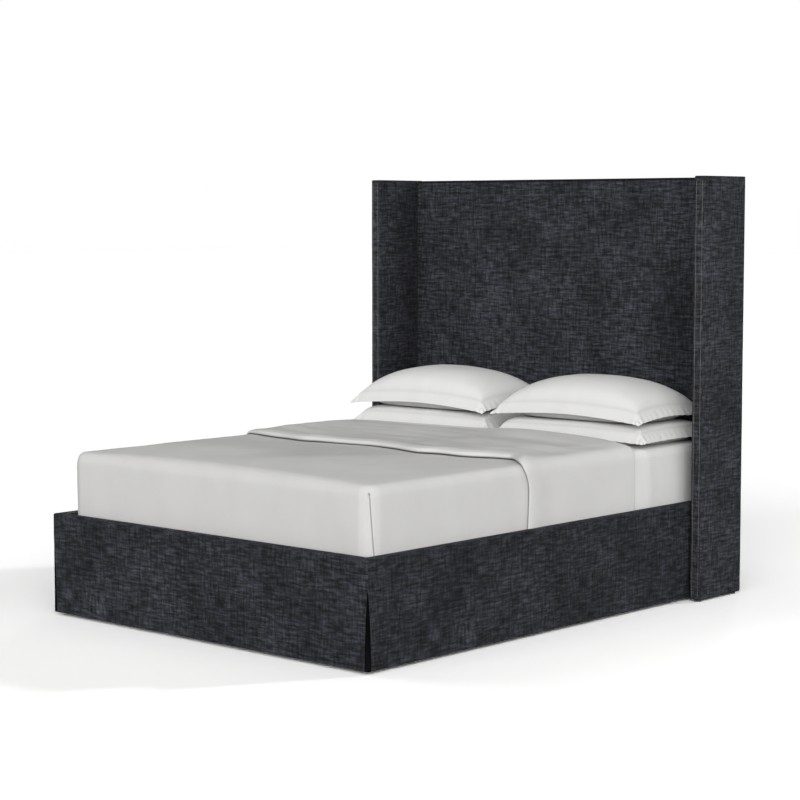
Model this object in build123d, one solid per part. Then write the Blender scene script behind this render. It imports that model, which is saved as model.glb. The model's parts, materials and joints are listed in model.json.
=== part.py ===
from build123d import *
import os

# A wingback bed, made up: upholstered bedstead with a corner-pleated skirt, mattress,
# bedding and four flanged pillows.
# Millimetres. X runs across the bed, Y along it with the headboard at +Y, Z up.
# The origin is on the floor under the middle of the whole bed.

# Driving sizes of the mattress and of the bedstead round it
mattress_width = 1524.0
mattress_length = 2032.0
mattress_height = 305.0
rail_top = 390.0
platform_drop = 65.0
side_clearance = 1.9
foot_clearance = 18.4
wing_gap = 14.8
wing_depth = 288.0
wing_height = 1668.0
headboard_drop = 2.0
ground_gap = 10.0
hem_gap = 12.0

# Upholstery layers
cover_thickness = 1.6
foam_thickness = 6.4
dust_cover_thickness = 2.0
edge_round = 6.0
hem_round = 2.5

# Timber and board
wing_core_thickness = 30.0
panel_thickness = 12.0
stile_thickness = 16.0
stile_width = 85.0
crossbar_height = 90.0
rail_board_thickness = 26.0
rail_board_height = 202.0
ledger_width = 30.0
ledger_height = 40.0
slat_thickness = 18.0
slat_width = 70.0
slat_count = 14
slat_end_gap = 2.0
beam_width = 40.0
beam_height = 70.0
leg_width = 60.0
leg_drop = 4.0
centre_leg_width = 50.0

# Skirt and pleats
inner_leg_height = 60.0
slit_height = 280.0
slit_foot = 16.0
slit_side = 20.0
pleat_width = 110.0
pleat_height = 300.0

# Hardware
glide_radius = 15.0
bolt_radius = 4.0
bolt_head_radius = 8.0
bolt_head_height = 5.0
wing_bolt_length = 95.0
plate_thickness = 4.0
plate_height = 60.0
plate_width = 50.0
plate_length = 80.0
screw_radius = 2.0
screw_head_radius = 4.0
screw_head_height = 3.0
screw_length = 38.0
hanger_thickness = 3.0
hanger_length = 45.0
hanger_gap = 0.5

# Levelling feet of the centre legs
centre_leg_count = 3
thread_radius = 5.0
thread_clearance = 0.3
insert_radius = 8.0
insert_height = 25.0
pad_radius = 20.0
pad_height = 10.0
foot_drop = 26.0
foot_lift = 0.4
thread_grip = 34.0

# Mattress and bedding
mattress_crown = 20.0
mattress_corner = 62.0
mattress_shoulder = 52.0
mattress_head_gap = 3.0
base_foam_height = 60.0
comfort_foam_height = 70.0
sheet_thickness = 2.0
coverlet_thickness = 9.0
coverlet_reach = 1491.0
turndown_side = 3.0
turndown_top = 12.0
turndown_length = 696.0
turndown_wave = 45.0

# Pillows
pillow_overhang = 2.5
pillow_gap = 39.0
pillow_depth = 480.0
pillow_back_gap = 10.0
upper_pillow_shift = -17.0
flange_width = 45.0
flange_thickness = 4.0
edge_draw = 9.0
crown_bow = 16.0
lower_pillow_belly = 8.0
lower_flange_slope = 12.0
lower_pillow_crown = 46.0
upper_pillow_belly = 14.0
upper_flange_slope = 20.0
upper_pillow_crown = 132.0
soft_gap = 0.4

# One overrun for every cut
overrun = 5.0

# Places that the driving sizes give
wing_thickness = wing_core_thickness + 2 * (foam_thickness + cover_thickness)
headboard_thickness = (
    cover_thickness + foam_thickness + panel_thickness + stile_thickness + dust_cover_thickness
)
platform_height = rail_top - platform_drop
pillow_width = (mattress_width - pillow_gap) / 2 + pillow_overhang
pillow_spacing = pillow_width + pillow_gap
padding = cover_thickness + foam_thickness
rail_depth = padding + rail_board_thickness + cover_thickness
coverlet_grow = sheet_thickness + coverlet_thickness
half_bedding = mattress_width / 2 + coverlet_grow + turndown_side
half_base = half_bedding + side_clearance + rail_depth
base_length = (
    rail_depth + foot_clearance + coverlet_grow + mattress_length + mattress_head_gap
)
headboard_height = wing_height - headboard_drop
half_board = half_base + wing_gap
overall_length = base_length + headboard_thickness
foot_y = -overall_length / 2
head_y = foot_y + base_length
back_y = foot_y + overall_length
wing_front_y = back_y - wing_depth
board_out = half_base - padding
board_in = board_out - rail_board_thickness
board_top = rail_top - padding
board_bottom = board_top - rail_board_height
ledger_top = platform_height - slat_thickness
foot_board_in = foot_y + padding + rail_board_thickness
leg_top = ledger_top - leg_drop

nodes = {}


def add(name, *solids):
    """Keep a sub-part, one solid or several alike, under its node's name."""
    nodes[name] = list(solids)


def block(x0, x1, y0, y1, z0, z1):
    """A plain box between two corners."""
    box = Box(x1 - x0, y1 - y0, z1 - z0)
    return Pos((x0 + x1) / 2, (y0 + y1) / 2, (z0 + z1) / 2) * box


def rod(start, end, radius):
    """A straight round bar from one point to another."""
    axis = Vector(*end) - Vector(*start)
    return Solid.make_cylinder(radius, axis.length, Plane(origin=start, z_dir=axis))


def flipped(solid):
    """The same piece on the other side of the bed."""
    return solid.mirror(Plane.YZ)


def prism(points, direction, length):
    """A flat outline pushed along a direction."""
    return extrude(make_face(Polyline(*points, close=True)), amount=length, dir=direction)


def standing(half_x, y0, y1, z0, z1, radius, centre_x=0.0):
    """An upright block with its front and side edges eased at the top and the corners."""
    solid = block(centre_x - half_x, centre_x + half_x, y0, y1, z0, z1)
    top = solid.edges().group_by(Axis.Z)[-1]
    uprights = solid.edges().filter_by(Axis.Z)
    return fillet(list(top) + list(uprights), radius)


def bolt(start, end):
    """A bolt's shank between two points, with its head outside the first."""
    back = (Vector(*start) - Vector(*end)).normalized() * bolt_head_height
    head = rod(start, tuple(Vector(*start) + back), bolt_head_radius)
    return rod(start, end, bolt_radius) + head


# Headboard
stile_front = head_y + padding + panel_thickness
stile_back = stile_front + stile_thickness
board_half = half_board - cover_thickness
board_high = headboard_height - cover_thickness
board_low = ground_gap


def headboard():
    """The ply panel on its timber ladder, with foam, cover and dust cover."""
    panel = block(-board_half, board_half, head_y + padding, stile_front,
                  board_low, board_high - foam_thickness)
    stiles = []
    stile_places = (-board_half + stile_width / 2, 0.0, board_half - stile_width / 2)
    for x in stile_places:
        stiles.append(block(x - stile_width / 2, x + stile_width / 2, stile_front, stile_back,
                            board_low, board_high - foam_thickness))
    bars = []
    clear = board_half - 1.5 * stile_width
    bar_zone = board_high - foam_thickness - crossbar_height - board_low
    bar_shares = (0.0, 0.14, 0.6, 1.0)
    for share in bar_shares:
        z = board_low + bar_zone * share
        for side in (-1, 1):
            middle = side * (stile_width / 2 + clear / 2)
            bars.append(block(middle - clear / 2, middle + clear / 2, stile_front, stile_back,
                              z, z + crossbar_height))
    foam = [
        block(-board_half, board_half, head_y + cover_thickness, head_y + padding,
              board_low, board_high - foam_thickness),
        block(-board_half, board_half, head_y + cover_thickness, stile_back,
              board_high - foam_thickness, board_high),
    ]
    outer = block(-half_board, half_board, head_y, stile_back, board_low, headboard_height)
    top_edges = outer.edges().filter_by(Axis.X).group_by(Axis.Z)[-1].sort_by(Axis.Y)
    outer = fillet(top_edges[0], hem_round)
    inner = block(-board_half, board_half, head_y + cover_thickness, stile_back + overrun,
                  board_low - overrun, board_high)
    dust = block(-half_board, half_board, stile_back, back_y, board_low, headboard_height)
    return panel, stiles, bars, foam, outer - inner, dust


panel, stiles, bars, board_foam, board_cover, dust_cover = headboard()


# Wings
wing_x = half_board + wing_thickness / 2
wing_half = wing_thickness / 2
core_half = wing_core_thickness / 2


def wing():
    """The right wing: solid core, foam pads on its sides, front and top, and the cover."""
    cover_outer = standing(wing_half, wing_front_y, back_y, ground_gap, wing_height,
                           edge_round, wing_x)
    skin = cover_thickness
    lining = standing(wing_half - skin, wing_front_y + skin, back_y - skin,
                      ground_gap - overrun, wing_height - skin, edge_round - skin, wing_x)
    core = block(wing_x - core_half, wing_x + core_half, wing_front_y + padding,
                 back_y - skin, ground_gap, wing_height - padding)
    body = lining & block(wing_x - wing_thickness, wing_x + wing_thickness, wing_front_y,
                          back_y, ground_gap, wing_height)
    high = wing_height - padding
    zones = [
        block(wing_x - wing_half, wing_x - core_half, wing_front_y, back_y, ground_gap, high),
        block(wing_x + core_half, wing_x + wing_half, wing_front_y, back_y, ground_gap, high),
        block(wing_x - core_half, wing_x + core_half, wing_front_y,
              wing_front_y + padding, ground_gap, high),
        block(wing_x - wing_half, wing_x + wing_half, wing_front_y, back_y, high,
              wing_height),
    ]
    pads = [body & zone for zone in zones]
    return core, pads, cover_outer - lining


wing_core, wing_foam, wing_cover = wing()

# Bolts that hold each wing to the headboard's outer stile, with sunk heads
bolt_y = stile_front + stile_thickness / 2
bolt_outer_x = wing_x + core_half - bolt_head_height
bolt_zone = wing_height - 2 * crossbar_height
wing_bolt_shares = (0.08, 0.36, 0.64, 0.92)
wing_bolts = []
for share in wing_bolt_shares:
    z = crossbar_height + bolt_zone * share
    wing_bolts.append(bolt((bolt_outer_x, bolt_y, z), (bolt_outer_x - wing_bolt_length, bolt_y, z)))
for wing_bolt in wing_bolts:
    wing_core = wing_core - wing_bolt
    wing_foam[0] = wing_foam[0] - wing_bolt
    wing_cover = wing_cover - wing_bolt
    board_cover = board_cover - wing_bolt - flipped(wing_bolt)
    stiles[0] = stiles[0] - flipped(wing_bolt)
    stiles[2] = stiles[2] - wing_bolt


# Base cover: one cloth over each rail, down its inside a little and down its outside to the hem
half_well = half_base - rail_depth
well = block(-half_well, half_well, foot_y + rail_depth, head_y + overrun,
             hem_gap - overrun, rail_top + overrun)


def base_form(inset, low):
    """The outside of the made-up base, shrunk by an inset, open at the headboard."""
    half = half_base - inset
    form = block(-half, half, foot_y + inset, head_y, low, rail_top - inset)
    uprights = form.edges().filter_by(Axis.Z).group_by(Axis.Y)[0]
    form = fillet(uprights, max(hem_round - inset, hem_round / 4))
    top = form.faces().sort_by(Axis.Z)[-1].edges().sort_by(Axis.Y)[:-1]
    return fillet(top, edge_round - inset)


lining = base_form(cover_thickness, hem_gap - overrun)
tuck = block(-half_well - cover_thickness, half_well + cover_thickness,
             foot_y + rail_depth - cover_thickness, head_y,
             rail_top - inner_leg_height, rail_top - cover_thickness)
base_cover = base_form(0, hem_gap) - lining + tuck - well


def slit_outline(width, at):
    """The pleat's opening as a wedge: nothing at its top, widest at the hem."""
    low = hem_gap - overrun
    spread = width * (slit_height - low) / (slit_height - hem_gap)
    return [at(0, slit_height), at(spread, low), at(-overrun, low), at(-overrun, slit_height)]


cut_depth = overrun + cover_thickness
foot_slit = prism(slit_outline(slit_foot, lambda u, z: (half_base - u, foot_y - overrun, z)),
                  (0, 1, 0), cut_depth)
side_slit = prism(slit_outline(slit_side, lambda u, z: (half_base + overrun, foot_y + u, z)),
                  (-1, 0, 0), cut_depth)
for slit in (foot_slit, side_slit):
    base_cover = base_cover - slit - flipped(slit)

# The cloth meets in a mitre over each foot corner
reach = rail_depth + overrun
side_plan = [(half_base + overrun, foot_y - overrun, 0), (half_base + overrun, head_y, 0),
             (half_base - reach, head_y, 0), (half_base - reach, foot_y + reach, 0)]
side_zone = prism(side_plan, (0, 0, 1), rail_top + overrun)
foot_cover = base_cover - side_zone - flipped(side_zone)
side_cover = base_cover & side_zone

# Pleat insert behind each opening
skin_x = half_base - cover_thickness
skin_y = foot_y + cover_thickness
pleat = block(skin_x - pleat_width, skin_x, skin_y, skin_y + cover_thickness,
              hem_gap, pleat_height)
pleat = pleat + block(skin_x - cover_thickness, skin_x, skin_y, skin_y + pleat_width,
                      hem_gap, pleat_height)
pleat = pleat & lining

# Rails: timber boards with foam outside and on top
foot_board = block(-board_out, board_out, foot_y + padding, foot_board_in, board_bottom, board_top)
side_board = block(board_in, board_out, foot_board_in, head_y, board_bottom, board_top)
side_foam = [
    lining & block(board_out, half_base, foot_y, head_y, board_bottom, board_top),
    lining & block(half_well + cover_thickness, half_base, foot_board_in, head_y,
                   board_top, rail_top),
]
foot_foam = [
    lining & block(-board_out, board_out, foot_y, foot_y + padding, board_bottom, board_top),
    lining & block(-half_base, half_base, foot_y, foot_board_in, board_top, rail_top),
]
side_foam[0] = side_foam[0] - pleat
foot_foam[0] = foot_foam[0] - pleat - flipped(pleat)

# Legs inside the foot corners, ledgers for the slats and the beam down the middle
corner_leg = block(board_in - leg_width, board_in, foot_board_in, foot_board_in + leg_width,
                   ground_gap, leg_top)
ledger_start = foot_board_in + leg_width
ledger = block(board_in - ledger_width, board_in, ledger_start, head_y,
               ledger_top - ledger_height, ledger_top)
hanger_end = hanger_thickness + hanger_gap
beam = block(-beam_width / 2, beam_width / 2, foot_board_in + hanger_end, head_y - hanger_end,
             ledger_top - beam_height, ledger_top)


def hanger():
    """A folded steel saddle at the foot end of the beam."""
    half = beam_width / 2
    low = ledger_top - beam_height
    y = foot_board_in
    base = block(-half - hanger_thickness, half + hanger_thickness, y, y + hanger_length,
                 low - hanger_thickness, low)
    back = block(-half - hanger_thickness, half + hanger_thickness, y, y + hanger_thickness,
                 low, ledger_top)
    left = block(-half - hanger_thickness, -half, y, y + hanger_length, low, ledger_top)
    right = block(half, half + hanger_thickness, y, y + hanger_length, low, ledger_top)
    return base + back + left + right


foot_hanger = hanger()
middle_y = (foot_board_in + head_y) / 2
head_hanger = foot_hanger.mirror(Plane.XZ.offset(-middle_y))

# Slats across, each screwed to both ledgers
slat_half = board_in - slat_end_gap
first_slat = ledger_start + slat_width / 2
last_slat = head_y - hanger_length - slat_width / 2
slat_pitch = (last_slat - first_slat) / (slat_count - 1)
screw_x = board_in - ledger_width / 2
slats = []
screws = []
for i in range(slat_count):
    y = first_slat + slat_pitch * i
    slat = block(-slat_half, slat_half, y - slat_width / 2, y + slat_width / 2,
                 ledger_top, platform_height)
    for x in (-screw_x, screw_x):
        head_low = platform_height - screw_head_height
        screw = rod((x, y, platform_height - screw_length), (x, y, head_low), screw_radius)
        screw = screw + rod((x, y, head_low), (x, y, platform_height), screw_head_radius)
        slat = slat - screw
        screws.append(screw)
    slats.append(slat)
for screw in screws:
    ledger = ledger - screw
left_ledger = flipped(ledger)

# Angle plates that hook each side rail to the headboard, low inside the corner
plate_top = board_bottom + plate_height
angle = block(board_in - plate_thickness, board_in, head_y - plate_length, head_y,
              board_bottom, plate_top)
angle = angle + block(board_in - plate_width, board_in, head_y - plate_thickness, head_y,
                      board_bottom, plate_top)
head_bolt_x = board_in - plate_width / 2 - bolt_head_radius / 2
head_bolt_depth = padding + panel_thickness + stile_thickness * 3 / 4
rail_bolt_y = head_y - plate_length / 2 - bolt_head_radius
rail_bolt_depth = rail_board_thickness * 3 / 4
bolt_zs = (board_bottom + plate_height / 4, board_bottom + plate_height * 3 / 4)
rail_bolts = []
for z in bolt_zs:
    start = (head_bolt_x, head_y - plate_thickness, z)
    rail_bolts.append(bolt(start, (head_bolt_x, head_y + head_bolt_depth, z)))
    start = (board_in - plate_thickness, rail_bolt_y, z)
    rail_bolts.append(bolt(start, (board_in + rail_bolt_depth, rail_bolt_y, z)))

# Bolts that tie each corner leg to both boards
leg_middle = leg_width / 2
leg_zs = (board_bottom + leg_middle, leg_top - leg_middle)
leg_in_x = board_in - leg_width
leg_in_y = foot_board_in + leg_width
leg_bolts = []
for z in leg_zs:
    y = foot_board_in + leg_middle
    leg_bolts.append(bolt((leg_in_x, y, z), (board_in + rail_bolt_depth, y, z)))
    x = board_in - leg_middle
    under = z - 2 * bolt_head_radius
    leg_bolts.append(bolt((x, leg_in_y, under), (x, foot_board_in - rail_bolt_depth, under)))

for part_bolt in rail_bolts:
    angle = angle - part_bolt
    side_board = side_board - part_bolt
    for through in (part_bolt, flipped(part_bolt)):
        board_cover = board_cover - through
        board_foam[0] = board_foam[0] - through
        panel = panel - through
    stiles[0] = stiles[0] - flipped(part_bolt)
    stiles[2] = stiles[2] - part_bolt
for part_bolt in leg_bolts:
    corner_leg = corner_leg - part_bolt
    side_board = side_board - part_bolt
    foot_board = foot_board - part_bolt - flipped(part_bolt)

# Centre legs under the beam, each with a threaded insert and a levelling foot
beam_low = ledger_top - beam_height
leg_plate_low = beam_low - plate_thickness
centre_leg_low = foot_lift + pad_height + foot_drop
beam_length = head_y - foot_board_in
centre_leg_shares = [(i + 1) / (centre_leg_count + 1) for i in range(centre_leg_count)]
bore_radius = thread_radius + thread_clearance
bore_top = centre_leg_low + thread_grip + thread_clearance
leg_plates = []
centre_legs = []
inserts = []
feet = []
for share in centre_leg_shares:
    y = foot_board_in + beam_length * share
    half = centre_leg_width / 2
    leg_plates.append(block(-half, half, y - plate_width, y + plate_width,
                            leg_plate_low, beam_low))
    leg = block(-half, half, y - half, y + half, centre_leg_low, leg_plate_low)
    bore = rod((0, y, centre_leg_low), (0, y, bore_top), bore_radius)
    sleeve = rod((0, y, centre_leg_low), (0, y, centre_leg_low + insert_height), insert_radius)
    centre_legs.append(leg - bore - sleeve)
    inserts.append(sleeve - bore)
    pad_top = foot_lift + pad_height
    pad = rod((0, y, foot_lift), (0, y, pad_top), pad_radius)
    pad = fillet(pad.edges().group_by(Axis.Z)[-1], pad_height / 4)
    stem = rod((0, y, pad_top), (0, y, centre_leg_low + thread_grip), thread_radius)
    feet.append(pad + stem)

# Nylon glides, one under each leg, wing end and headboard stile
wing_glides = []
for y in (wing_front_y + padding + glide_radius, back_y - padding - glide_radius):
    wing_glides.append(rod((wing_x, y, 0), (wing_x, y, ground_gap), core_half - hem_round))
leg_glide_x = board_in - leg_middle
leg_glide_y = foot_board_in + leg_middle
leg_glide = rod((leg_glide_x, leg_glide_y, 0), (leg_glide_x, leg_glide_y, ground_gap),
                glide_radius)
board_glides = []
for x in (-board_half + stile_width / 2, 0.0, board_half - stile_width / 2):
    y = (head_y + padding + stile_back) / 2
    board_glides.append(rod((x, y, 0), (x, y, ground_gap), panel_thickness))


# Mattress and bedding
def crown_line(half, top):
    """The slightly domed section of the made-up mattress, across the bed."""
    edge = top - mattress_crown
    arc = ThreePointArc((-half, 0, edge), (0, 0, top), (half, 0, edge))
    sides = Polyline((half, 0, edge), (half, 0, platform_height - overrun),
                     (-half, 0, platform_height - overrun), (-half, 0, edge))
    return make_face(Curve() + [arc, sides])


def bed_form(grow, rise, y0, y1, low, soft_head):
    """The mattress's outer form, grown sideways and upwards by a layer's thickness."""
    half = mattress_width / 2 + grow
    top = platform_height + mattress_height + rise
    form = block(-half, half, y0, y1, low, top)
    uprights = form.edges().filter_by(Axis.Z)
    corners = uprights if soft_head else uprights.group_by(Axis.Y)[0]
    form = fillet(corners, mattress_corner + grow)
    rim = form.faces().sort_by(Axis.Z)[-1].edges()
    if not soft_head:
        rim = rim.sort_by(Axis.Y)[:-1]
    form = fillet(rim, mattress_shoulder + grow)
    dome = Pos(0, y1 + overrun, 0) * extrude(crown_line(half + overrun, top),
                                             amount=y1 - y0 + 2 * overrun, dir=(0, -1, 0))
    return form & dome


mattress_head = head_y - mattress_head_gap
mattress_foot = mattress_head - mattress_length
mattress = bed_form(0, 0, mattress_foot, mattress_head, platform_height, True)
mattress_top = platform_height + mattress_height
core_low = platform_height + base_foam_height
core_high = mattress_top - comfort_foam_height


def layer(low, high):
    """The mattress between two heights."""
    half = mattress_width / 2
    return mattress & block(-half, half, mattress_foot, mattress_head, low, high)


sheet = bed_form(sheet_thickness, sheet_thickness, mattress_foot - sheet_thickness,
                 mattress_head + sheet_thickness, platform_height, True)
coverlet_foot = mattress_foot - coverlet_grow
coverlet_head = coverlet_foot + coverlet_reach
coverlet_form = bed_form(coverlet_grow, coverlet_grow, coverlet_foot, coverlet_head,
                         platform_height, False)
coverlet = coverlet_form - sheet
fitted_sheet = sheet - bed_form(0, 0, mattress_foot, mattress_head,
                                platform_height - overrun, True)

# The sheet folded back over the coverlet, with a wavy rolled edge towards the foot
turndown_foot = coverlet_head - turndown_length
turndown_form = bed_form(coverlet_grow + turndown_side, coverlet_grow + turndown_top,
                         coverlet_foot - turndown_side, coverlet_head, platform_height, False)
# Across the half width, then along the wave, from the left edge to the right one
wave_shares = ((-1.0, 1.0), (-0.63, 0.0), (-0.38, -0.65), (-0.17, 0.1), (0.03, 0.55),
               (0.29, -0.2), (0.57, -1.0), (0.73, 0.0), (0.88, 0.6), (1.0, 1.0))


def turndown_plan():
    """The folded band seen from above, its edge a run of shallow arcs."""
    half = half_bedding + overrun
    spots = [(half * across, turndown_foot + turndown_wave * wave)
             for across, wave in wave_shares]
    bends = []
    for i in range(0, len(spots) - 2, 2):
        bends.append(ThreePointArc(spots[i], spots[i + 1], spots[i + 2]))
    bends.append(Line(spots[-2], spots[-1]))
    head = coverlet_head + overrun
    rest = Polyline(spots[-1], (half, head), (-half, head), spots[0])
    return make_face(Curve() + bends + [rest])


turndown_zone = extrude(turndown_plan(), amount=mattress_top + turndown_top + 2 * coverlet_grow)
turndown = turndown_form - bed_form(coverlet_grow, coverlet_grow, coverlet_foot,
                                    coverlet_head + overrun, platform_height - overrun, False)
turndown = turndown & turndown_zone


# Pillows
def cushion_outline(half_x, half_y, bow, z):
    """A four-sided outline whose sides bow out, or in where the bow is negative."""
    a, b, c, d = ((-half_x, -half_y, z), (half_x, -half_y, z),
                  (half_x, half_y, z), (-half_x, half_y, z))
    return Wire([
        Edge.make_three_point_arc(a, (0, -half_y - bow, z), b),
        Edge.make_three_point_arc(b, (half_x + bow, 0, z), c),
        Edge.make_three_point_arc(c, (0, half_y + bow, z), d),
        Edge.make_three_point_arc(d, (-half_x - bow, 0, z), a),
    ])


# Height, then inset as shares of the belly's height and of the room inside the flange
crown_shares = ((0.0, 0.0), (0.27, 0.05), (0.53, 0.14), (0.75, 0.28), (0.91, 0.48), (1.0, 0.8))
belly_shares = ((0.0, 0.0), (0.5, 0.1), (1.0, 0.3))


def bulge(height, shares, flat_share):
    """One side of a pillow's filling, from the flange to its crown."""
    half_x = pillow_width / 2 - flange_width
    half_y = pillow_depth / 2 - flange_width
    rings = []
    for rise, inset in shares:
        step = half_y * inset * flat_share
        bow = crown_bow * rise - edge_draw * (1 - rise)
        rings.append(cushion_outline(half_x - step, half_y - step, bow, height * rise))
    return Solid.make_loft(rings)


def pillow(belly, slope, crown, flat_share):
    """A pillow whose flange hangs by its slope all round, with its rim at its belly's height."""
    half_x = pillow_width / 2
    half_y = pillow_depth / 2
    rim_top = belly + flange_thickness
    rim = Face(cushion_outline(half_x, half_y, -edge_draw, belly))
    rim = extrude(rim, amount=flange_thickness, dir=(0, 0, 1))
    seam = cushion_outline(half_x - flange_width, half_y - flange_width, -edge_draw,
                           rim_top + slope)
    hang = Solid.make_loft([cushion_outline(half_x, half_y, -edge_draw, rim_top), seam], True)
    under = bulge(belly, belly_shares, 1).mirror(Plane.XY)
    over = bulge(crown, crown_shares, flat_share)
    whole = rim + hang + Pos(0, 0, belly) * under + Pos(0, 0, rim_top + slope) * over
    room = block(-half_x, half_x, -half_y, half_y, 0, rim_top + slope + crown)
    return whole & room


pillow_y = head_y - pillow_back_gap - pillow_depth / 2
lower_base = mattress_top + sheet_thickness + soft_gap
lower_flat_share = 0.6
lower_pillow = pillow(lower_pillow_belly, lower_flange_slope, lower_pillow_crown,
                      lower_flat_share)
lower_height = lower_pillow_belly + flange_thickness + lower_flange_slope + lower_pillow_crown
upper_base = lower_base + lower_height + soft_gap
upper_pillow = pillow(upper_pillow_belly, upper_flange_slope, upper_pillow_crown, 1)
right_x = pillow_spacing / 2

# Sub-parts
add("headboard_panel", panel)
add("headboard_stiles", *stiles)
add("headboard_crossbars", *bars)
add("headboard_foam", *board_foam)
add("headboard_cover", board_cover)
add("headboard_dust_cover", dust_cover)
add("headboard_glides", *board_glides)
add("wing_right_core", wing_core)
add("wing_left_core", flipped(wing_core))
add("wing_right_foam", *wing_foam)
add("wing_left_foam", *[flipped(pad) for pad in wing_foam])
add("wing_right_cover", wing_cover)
add("wing_left_cover", flipped(wing_cover))
add("wing_right_glides", *wing_glides)
add("wing_left_glides", *[flipped(glide) for glide in wing_glides])
add("wing_bolts", *wing_bolts, *[flipped(piece) for piece in wing_bolts])
add("rail_right_board", side_board)
add("rail_left_board", flipped(side_board))
add("rail_foot_board", foot_board)
add("rail_right_foam", *side_foam)
add("rail_left_foam", *[flipped(pad) for pad in side_foam])
add("rail_foot_foam", *foot_foam)
add("skirt_cover_right", side_cover)
add("skirt_cover_left", flipped(side_cover))
add("skirt_cover_foot", foot_cover)
add("pleat_insert_right", pleat)
add("pleat_insert_left", flipped(pleat))
add("slat_ledgers", ledger, left_ledger)
add("slats", *slats)
add("slat_screws", *screws)
add("centre_beam", beam)
add("beam_hangers", foot_hanger, head_hanger)
add("centre_leg_plates", *leg_plates)
add("centre_legs", *centre_legs)
add("centre_leg_inserts", *inserts)
foot_names = ("front", "middle", "rear")
for place, foot in zip(foot_names, feet):
    add("levelling_foot_" + place, foot)
add("corner_legs", corner_leg, flipped(corner_leg))
add("corner_leg_glides", leg_glide, flipped(leg_glide))
add("corner_leg_bolts", *leg_bolts, *[flipped(piece) for piece in leg_bolts])
add("rail_angle_plates", angle, flipped(angle))
add("rail_bolts", *rail_bolts, *[flipped(piece) for piece in rail_bolts])
add("mattress_base_foam", layer(platform_height, core_low))
add("mattress_core", layer(core_low, core_high))
add("mattress_comfort_foam", layer(core_high, mattress_top))
add("fitted_sheet", fitted_sheet)
add("coverlet", coverlet)
add("turndown", turndown)
add("pillow_lower_right", Pos(right_x, pillow_y, lower_base) * lower_pillow)
add("pillow_lower_left", Pos(-right_x, pillow_y, lower_base) * lower_pillow)
upper_right_x = right_x + upper_pillow_shift
upper_left_x = -right_x + upper_pillow_shift
add("pillow_upper_right", Pos(upper_right_x, pillow_y, upper_base) * upper_pillow)
add("pillow_upper_left", Pos(upper_left_x, pillow_y, upper_base) * upper_pillow)

os.makedirs("parts", exist_ok=True)
for name, pieces in nodes.items():
    solids = [solid for piece in pieces for solid in piece.solids()]
    whole = solids[0] if len(solids) == 1 else Compound(solids)
    export_step(whole, f"parts/{name}.step")
    print(name, len(solids), round(sum(solid.volume for solid in solids)))
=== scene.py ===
"""A made-up wingback bed: linen upholstery, pleated skirt, bedding, pillows and a plain studio."""

import json
import math

import bmesh
import bpy
from mathutils import Euler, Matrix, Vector, noise


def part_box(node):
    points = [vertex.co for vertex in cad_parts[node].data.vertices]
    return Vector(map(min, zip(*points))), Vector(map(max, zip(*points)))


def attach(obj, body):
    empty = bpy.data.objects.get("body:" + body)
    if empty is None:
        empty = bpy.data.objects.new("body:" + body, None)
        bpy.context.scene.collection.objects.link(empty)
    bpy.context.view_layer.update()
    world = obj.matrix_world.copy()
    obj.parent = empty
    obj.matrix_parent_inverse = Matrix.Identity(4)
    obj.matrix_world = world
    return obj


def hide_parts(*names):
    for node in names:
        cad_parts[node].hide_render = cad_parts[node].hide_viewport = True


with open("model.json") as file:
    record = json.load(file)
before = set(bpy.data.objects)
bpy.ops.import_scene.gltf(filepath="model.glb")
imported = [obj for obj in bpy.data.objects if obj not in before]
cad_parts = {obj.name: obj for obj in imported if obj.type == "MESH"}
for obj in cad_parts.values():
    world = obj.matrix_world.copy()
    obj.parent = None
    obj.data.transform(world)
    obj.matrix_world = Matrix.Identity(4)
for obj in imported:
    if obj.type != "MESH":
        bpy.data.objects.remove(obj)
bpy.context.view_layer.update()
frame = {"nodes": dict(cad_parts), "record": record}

bl_info = {
    "name": "Wingback bed",
    "version": (1, 0, 0),
    "blender": (4, 5, 0),
    "location": "View3D > Sidebar > Bed",
    "description": "Dresses a bed frame with linen, cotton bedding, pillows and a studio",
    "category": "Object",
}

MM = 0.001

# Places that the frame gives
BOARD_LOW, BOARD_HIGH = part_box("headboard_cover")
WING_LOW, WING_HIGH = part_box("wing_right_cover")
SIDE_LOW, SIDE_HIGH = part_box("skirt_cover_right")
FOOT_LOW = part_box("skirt_cover_foot")[0]
INSERT_LOW, INSERT_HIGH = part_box("pleat_insert_right")
DUST_LOW, DUST_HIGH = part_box("headboard_dust_cover")
SHEET_LOW, SHEET_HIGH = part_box("fitted_sheet")
COVERLET_LOW, COVERLET_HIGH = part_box("coverlet")
BAND_LOW, BAND_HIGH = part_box("turndown")
RAIL_TOP = SIDE_HIGH.z

# Upholstery
CLOTH = 1.6 * MM
SKIRT_WALL = 0.8 * CLOTH
INSERT_WALL = 0.5 * CLOTH
DUST_WALL = 0.6 * MM
EDGE_ROUND = 6 * MM
PAD_CELL = 42 * MM
PAD_SWELL = 1.1 * MM
PAD_WAVE = 260 * MM

# Skirt
HEM_ROUND = 2 * MM
CORNER_ROUND = 4 * MM
HEM_TURN = 25 * MM
INNER_LIP = 55 * MM
SLIT_TOP = 288 * MM
SLIT_SIDE = 20 * MM
SLIT_FOOT = 16 * MM
SLIT_BLEND = 8 * MM
SLIT_OPENING = 0.55
RETURN_FOLD = 40 * MM
SEAM_ALLOWANCE = 6 * MM
HANG_TOP = 240 * MM
HANG_EASE = 100 * MM
HANG_WAVE = 2.6 * MM
HANG_RIPPLE = 0.7 * MM
FACE_CELL = 14 * MM
RAIL_CELL = 8 * MM
COLUMN_CELL = 34 * MM
# Painted shade over each whole skirt face, more on the sides than at the foot
SIDE_PAINTED_SHADE = 0.2
FOOT_PAINTED_SHADE = 0.08

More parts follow.
